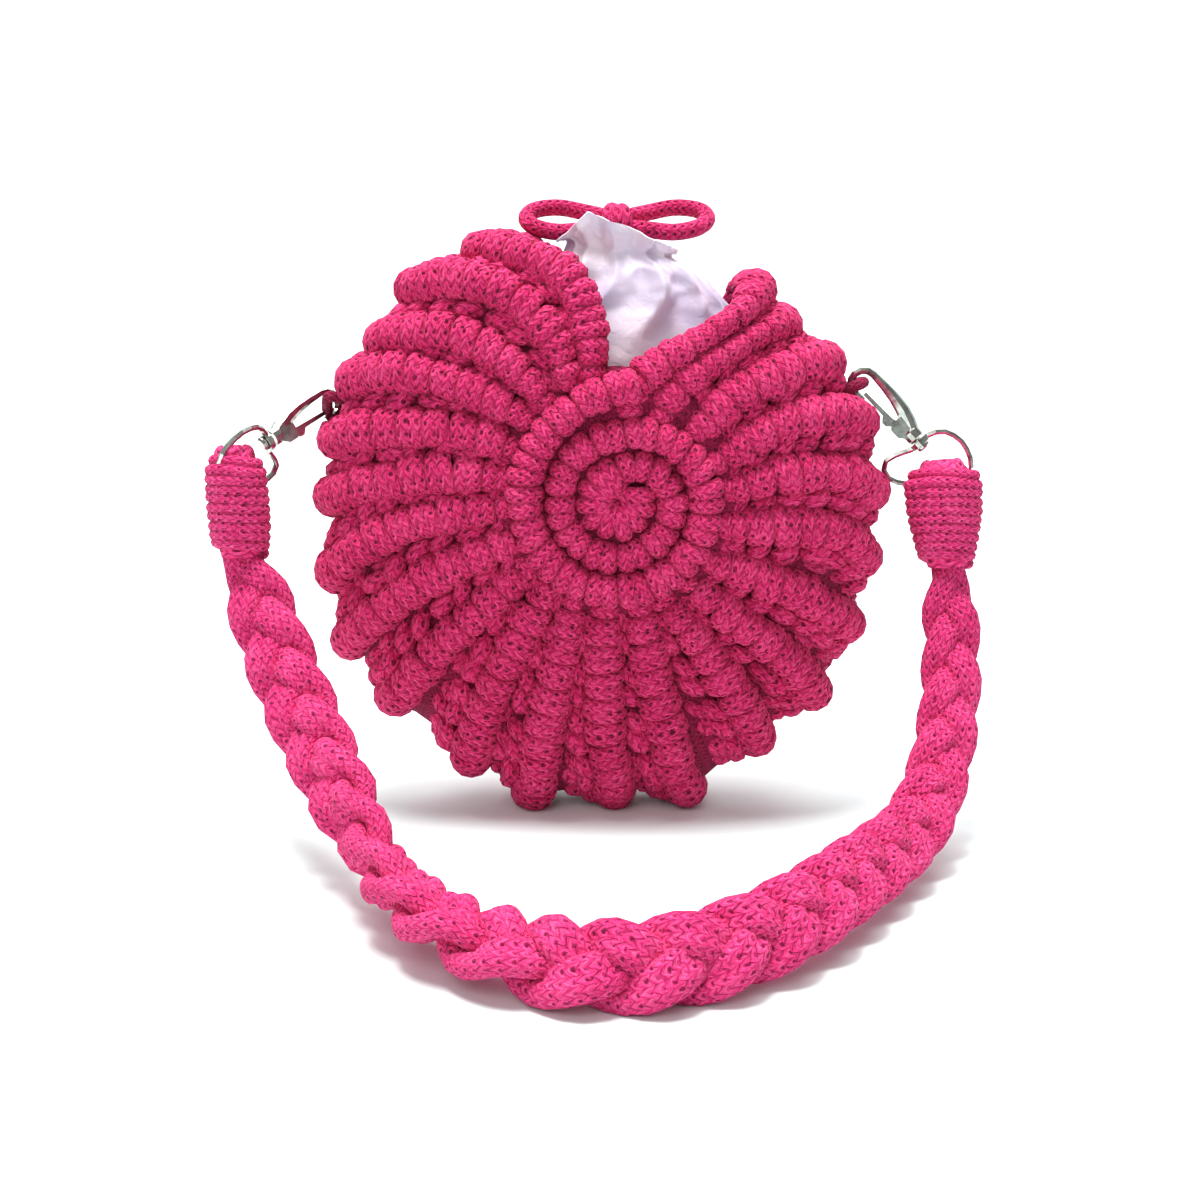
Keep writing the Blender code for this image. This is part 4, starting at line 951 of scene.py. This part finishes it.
# the lining: one thin gathered pouch that stands out of the V
liningForm = {
    "drop": 0.089, "rise": 0.086, "halfWidth": 0.076, "halfDepth": 0.020, "columns": 200, "rowsBetween": 9,
    "puckers": 8, "wall": 0.0005,
    # height, left, right, depth, pucker and lean as in the solid
    "rows": (
        (-1.0, -0.16, 0.16, 0.22, 0.0, 0.0), (-0.8, -0.66, 0.56, 0.66, 0.0, 0.0),
        (-0.4, -0.96, 0.84, 0.94, 0.0, 0.0), (0.0, -1.02, 0.90, 1.00, 0.0, 0.0),
        (0.34, -0.96, 0.78, 0.95, 0.0, 0.0), (0.56, -0.74, 0.563, 0.80, 0.01, 0.0),
        (0.70, -0.36, 0.432, 0.62, 0.05, 0.0), (0.80, -0.24, 0.33, 0.50, 0.09, -0.05),
        (0.85, -0.20, 0.235, 0.34, 0.16, -0.10), (0.87, -0.19, 0.22, 0.30, 0.20, -0.12),
        (0.89, -0.21, 0.235, 0.34, 0.14, -0.10), (0.92, -0.24, 0.25, 0.42, 0.07, -0.04),
        (0.95, -0.26, 0.255, 0.44, 0.03, 0.0),
    ),
    # the top edge comes to a peak: its place, height above the last row, and the falls to its left and right
    "peak": {"x": -0.0089, "rise": 0.0040, "left": 0.95, "right": 0.40, "from": 0.87, "to": 0.95,
             "pitShadeSpread": 0.0012},
    # heights as shares, and how deep the creases and crumples go
    "foldsFrom": 0.45, "foldsOver": 0.3, "foldsTurn": 0.45, "neck": 0.87, "neckWidth": 0.05,
    "neckFolds": 0.35, "slack": 0.0012, "crumple": 0.0012, "crease": 0.0022,
    # folds down the front: turn at the neck and lower down, how far out, how wide, in degrees and metres
    "folds": ((-63, -79, 0.0066, 7), (-95, -112, 0.0030, 8), (-40, -46, 0.0034, 6), (-22, -30, 0.0030, 6),
              (-124, -134, 0.0036, 7), (-150, -158, 0.0026, 8), (30, 35, 0.0030, 8), (62, 64, 0.0036, 8),
              (98, 95, 0.0030, 9), (135, 130, 0.0034, 9)),
}


def smoothRows(rows, between):
    fine = []
    columns = [[row[k] for row in rows] for k in range(len(rows[0]))]
    for i in range(len(rows) - 1):
        for step in range(between):
            fine.append([curvePoint(column[max(i - 1, 0)], column[i], column[i + 1],
                                    column[min(i + 2, len(rows) - 1)], step / between) for column in columns])
    fine.append(list(rows[-1]))
    return fine


def makeLining(form):
    shape = newShape()
    count = form["columns"]
    rows = smoothRows(form["rows"], form["rowsBetween"])
    peak = form["peak"]
    for height, left, right, depth, pucker, lean in rows:
        span = form["drop"] if height < 0 else form["rise"]
        z = shell["coilHeight"] + height * span
        left, right = left * form["halfWidth"], right * form["halfWidth"]
        middle, half = (left + right) / 2, (right - left) / 2
        depth = depth * form["halfDepth"]
        gathered = clamp((height - form["foldsFrom"]) / form["foldsOver"])
        neck = math.exp(-((height - form["neck"]) / form["neckWidth"]) ** 2)
        for i in range(count):
            turn = 2 * math.pi * i / count
            degrees = math.degrees(turn) - (360.0 if turn > math.pi else 0.0)
            ripple = 1 + pucker * math.cos(form["puckers"] * turn) * 0.5
            fold = 0.0
            for top, low, size, wideness in form["folds"]:
                place = mix(low, top, clamp((height - form["foldsFrom"]) / form["foldsTurn"]))
                apart = (degrees - place + 180.0) % 360.0 - 180.0
                fold += size * math.exp(-abs(apart / wideness) ** 1.4)
            fold = (fold - form["slack"]) * gathered * (1 - form["neckFolds"] * neck)
            spot = Vector((math.cos(turn) * 2.2, math.sin(turn) * 2.2, height * 9.0))
            crease = 0.25 - abs(noise.noise(spot * 1.7))
            crumple = noise.noise(spot) * form["crumple"] + crease * form["crease"]
            x = (half * ripple + fold + crumple * gathered) * math.cos(turn)
            y = (depth * ripple + fold + crumple * gathered) * math.sin(turn)
            raised = clamp((height - peak["from"]) / (peak["to"] - peak["from"]))
            beyond = middle + x - peak["x"]
            fall = beyond * peak["right"] if beyond > 0 else -beyond * peak["left"]
            frayed = noise.noise(Vector((x * 160.0, y * 160.0, 3.0))) * peak["pitShadeSpread"]
            top = raised * (peak["rise"] - fall + frayed)
            shape["points"].append(Vector((middle + x, y, z + lean * x + top)))
    for j in range(len(rows) - 1):
        for i in range(count):
            k = (i + 1) % count
            a, b, c, d = j * count + i, j * count + k, (j + 1) * count + k, (j + 1) * count + i
            shape["faces"].append((a, b, c, d))
            u, v, step, row = i / count, j / 60, 1 / count, 1 / 60
            shape["uvs"] += [(u, v), (u + step, v), (u + step, v + row), (u, v + row)]
    shape["faces"].append(tuple(range(count))[::-1])
    shape["uvs"] += [(0.0, 0.0)] * count
    pouch = makePiece("satin_lining", shape, satinWhite)
    addWall(pouch, form["wall"])
    return pouch


lining = makeLining(liningForm)
print("lining gathered")


# the drawstring bow behind the lining's neck
bowForm = {"cord": 0.0054, "loopLength": 0.0268, "loopWidth": 0.0108, "tailLength": 0.024, "knot": 0.0062,
           "centre": (0.0003, 0.0185, 0.18796), "tilt": 40.0, "gap": 0.0003, "tuck": 0.001, "rise": 0.05,
           # the knot's two turns of cord: place, size and lean
           "turns": ((-0.0022, 1.0, 0.00064), (0.0024, 0.94, -0.00088)),
           "turnRadius": 0.0036, "turnCord": 0.0029,
           # each loop by its reach as a share of the length, and its spread as a share of half the width
           "loop": ((0.20, 0.8), (0.50, 1.1), (0.78, 0.78), (0.89, 0.0)),
           # each tail by how far out, back and down it is, as shares of its length
           "tail": ((0, 0, 0), (0.01, 0.12, -0.02), (0.02, 0.24, -0.14), (0.05, 0.30, -0.40),
                    (0.12, 0.30, -0.66), (0.20, 0.28, -0.88))}


def bowLoop(form, side):
    start, mouth, middle = form["knot"] - form["tuck"], form["cord"] / 2 + form["gap"], form["loopWidth"] / 2
    tilt = math.radians(form["tilt"])
    there = [(0.0, mouth), *((share, spread * middle) for share, spread in form["loop"])]
    ways = [(share, -spread) for share, spread in there] + there[-2::-1]
    points = []
    for share, back in ways:
        out = start + share * form["loopLength"]
        points.append(Vector(form["centre"]) + Vector((side * out, back * math.cos(tilt),
                                                       back * math.sin(tilt) + form["rise"] * out)))
    return smoothPath(points, 40)


def bowTail(form, side):
    start, beside = form["knot"] - form["tuck"], form["cord"] / 2 + 2 * form["gap"]
    points = []
    length = form["tailLength"]
    for out, back, down in form["tail"]:
        points.append(Vector(form["centre"]) + Vector((side * (beside + out * length), start + back * length,
                                                       down * length)))
    return smoothPath(points, 20)


def makeBow(form):
    made = {}
    for name, side in (("left", -1.0), ("right", 1.0)):
        for part, path in (("loop_", bowLoop(form, side)), ("tail_", bowTail(form, side))):
            shape = newShape()
            addTube(shape, path, form["cord"] / 2, 16)
            made[part + name] = (makePiece("drawstring_" + part + name, shape, cordPink), path)
    shape = newShape()
    centre = Vector(form["centre"])
    # two turns of cord over the middle
    for shift, size, lean in form["turns"]:
        turnPath, ups = [], []
        for a in range(0, 361, 18):
            turn = math.radians(a)
            out = Vector((0.0, math.cos(turn), math.sin(turn)))
            side = Vector((shift + lean * math.sin(turn), 0, 0))
            turnPath.append(centre + side + out * (form["turnRadius"] * size))
            ups.append(out)
        addTube(shape, turnPath, form["turnCord"], 12, ups=ups)
    made["knot"] = (makePiece("drawstring_knot", shape, cordPink), None)
    return made


bow = makeBow(bowForm)
print("bow tied")


# cord loops on the rim that the snap hooks hold, by the middles of their cords
rimCord = 0.0036
rimLoops = {
    "left": ((-0.08344, 0.0058, 0.12569), (-0.08959, 0.0058, 0.12745), (-0.09139, 0.00539, 0.12823),
             (-0.09226, 0.00394, 0.1294), (-0.09178, 0.0, 0.13178), (-0.09093, -0.00394, 0.13405),
             (-0.08957, -0.00539, 0.13458), (-0.08763, -0.0058, 0.13428), (-0.08148, -0.0058, 0.13252)),
    "right": ((0.06833, -0.00677, 0.13516), (0.07465, -0.00677, 0.13784), (0.07658, -0.0063, 0.13861),
              (0.07779, -0.0046, 0.13895), (0.07815, 0.0, 0.13863), (0.07813, 0.0046, 0.13815),
              (0.07704, 0.0063, 0.13752), (0.07515, 0.00677, 0.13666), (0.06883, 0.00677, 0.13398)),
}


def makeRimLoops():
    made = []
    for name, points in rimLoops.items():
        shape = newShape()
        addTube(shape, smoothPath(points, 40), rimCord / 2, 10)
        # the rim loops wear the darker copy of the cord colours, painted shade
        made.append(makePiece(name + "_rim_loop", shape, shadedCordPink))
    return made


loopPieces = makeRimLoops()


# metal keeps the solids' shapes
for name in ("left_hook", "right_hook", "left_gate", "right_gate", "left_ring", "right_ring"):
    node = bpy.data.objects[name]
    for spot in node.material_slots:
        spot.material = nickel


# floor, backdrop and lights
studio = {
    # a little green in the floor takes up the pink light that the bag throws on it
    "floor": (0.82, 0.93, 0.915), "world": 0.28,
    "halfWidth": 5.0, "front": -4.0, "wallFoot": 1.6, "bend": 0.8, "wallTop": 4.0,
    # place, aim, size and watts of each light
    "lights": {
        "keyLight": ((-0.16, -0.12, 1.45), (0.0, -0.02, 0.08), 0.50, 22.5),
        "fillLight": ((-0.30, -1.20, 0.95), (0.0, -0.02, 0.10), 0.8, 5.0),
        "backLight": ((0.15, 0.80, 1.10), (0.0, -0.02, 0.08), 0.6, 2.5),
        "wallLight": ((0.0, 0.9, 2.6), (0.0, 2.4, 0.6), 2.6, 95.0),
    },
}


def makeStudio(look):
    material, tree, shader = startMaterial("paleFloor")
    shader.inputs["Base Color"].default_value = (*look["floor"], 1.0)
    shader.inputs["Roughness"].default_value = 0.9
    # the floor bends up into the wall
    foot, bend = look["wallFoot"], look["bend"]
    profile = [(look["front"], 0.0)]
    for a in range(0, 91, 10):
        turn = math.radians(a)
        profile.append((foot + bend * math.sin(turn), bend - bend * math.cos(turn)))
    profile.append((foot + bend, look["wallTop"]))
    shape = newShape()
    for y, z in profile:
        shape["points"] += [Vector((-look["halfWidth"], y, z)), Vector((look["halfWidth"], y, z))]
    for i in range(len(profile) - 1):
        shape["faces"].append((2 * i, 2 * i + 1, 2 * i + 3, 2 * i + 2))
        shape["uvs"] += [(0, 0), (1, 0), (1, 1), (0, 1)]
    makePiece("studio_floor", shape, material)
    world = bpy.data.worlds.new("studio")
    world.use_nodes = True
    sky = world.node_tree.nodes["Background"]
    sky.inputs[0].default_value = (1.0, 1.0, 1.0, 1.0)
    sky.inputs[1].default_value = look["world"]
    bpy.context.scene.world = world
    for name, (place, aim, size, watts) in look["lights"].items():
        light = bpy.data.lights.new(name, "AREA")
        light.size = size
        light.energy = watts
        lamp = bpy.data.objects.new(name, light)
        lamp.location = place
        lamp.rotation_euler = (Vector(aim) - Vector(place)).to_track_quat("-Z", "Y").to_euler()
        bpy.context.scene.collection.objects.link(lamp)


makeStudio(studio)
bpy.context.scene.view_settings.view_transform = "Standard"


# what each piece rides on and stands for
for piece in (*ribPieces, *coilPieces, ground, frontDisc, backDisc, *loopPieces, *strapPieces,
              *endPieces.values(), lining, *(entry[0] for entry in bow.values())):
    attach(piece, "bag")

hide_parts("front_panel", "side_band", "back_panel")
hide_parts("front_coil")
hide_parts("back_coil")
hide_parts("lining")
for piece, letter in zip(strapPieces, "abc"):
    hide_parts("strap_strand_" + letter)
for name, piece in endPieces.items():
    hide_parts(name + "_strap_end")
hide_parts("bow_knot")
for name in ("left", "right"):
    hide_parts("bow_loop_" + name)
    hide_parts("bow_tail_" + name)

for name in ("left", "right"):
    piece, path = bow["loop_" + name]
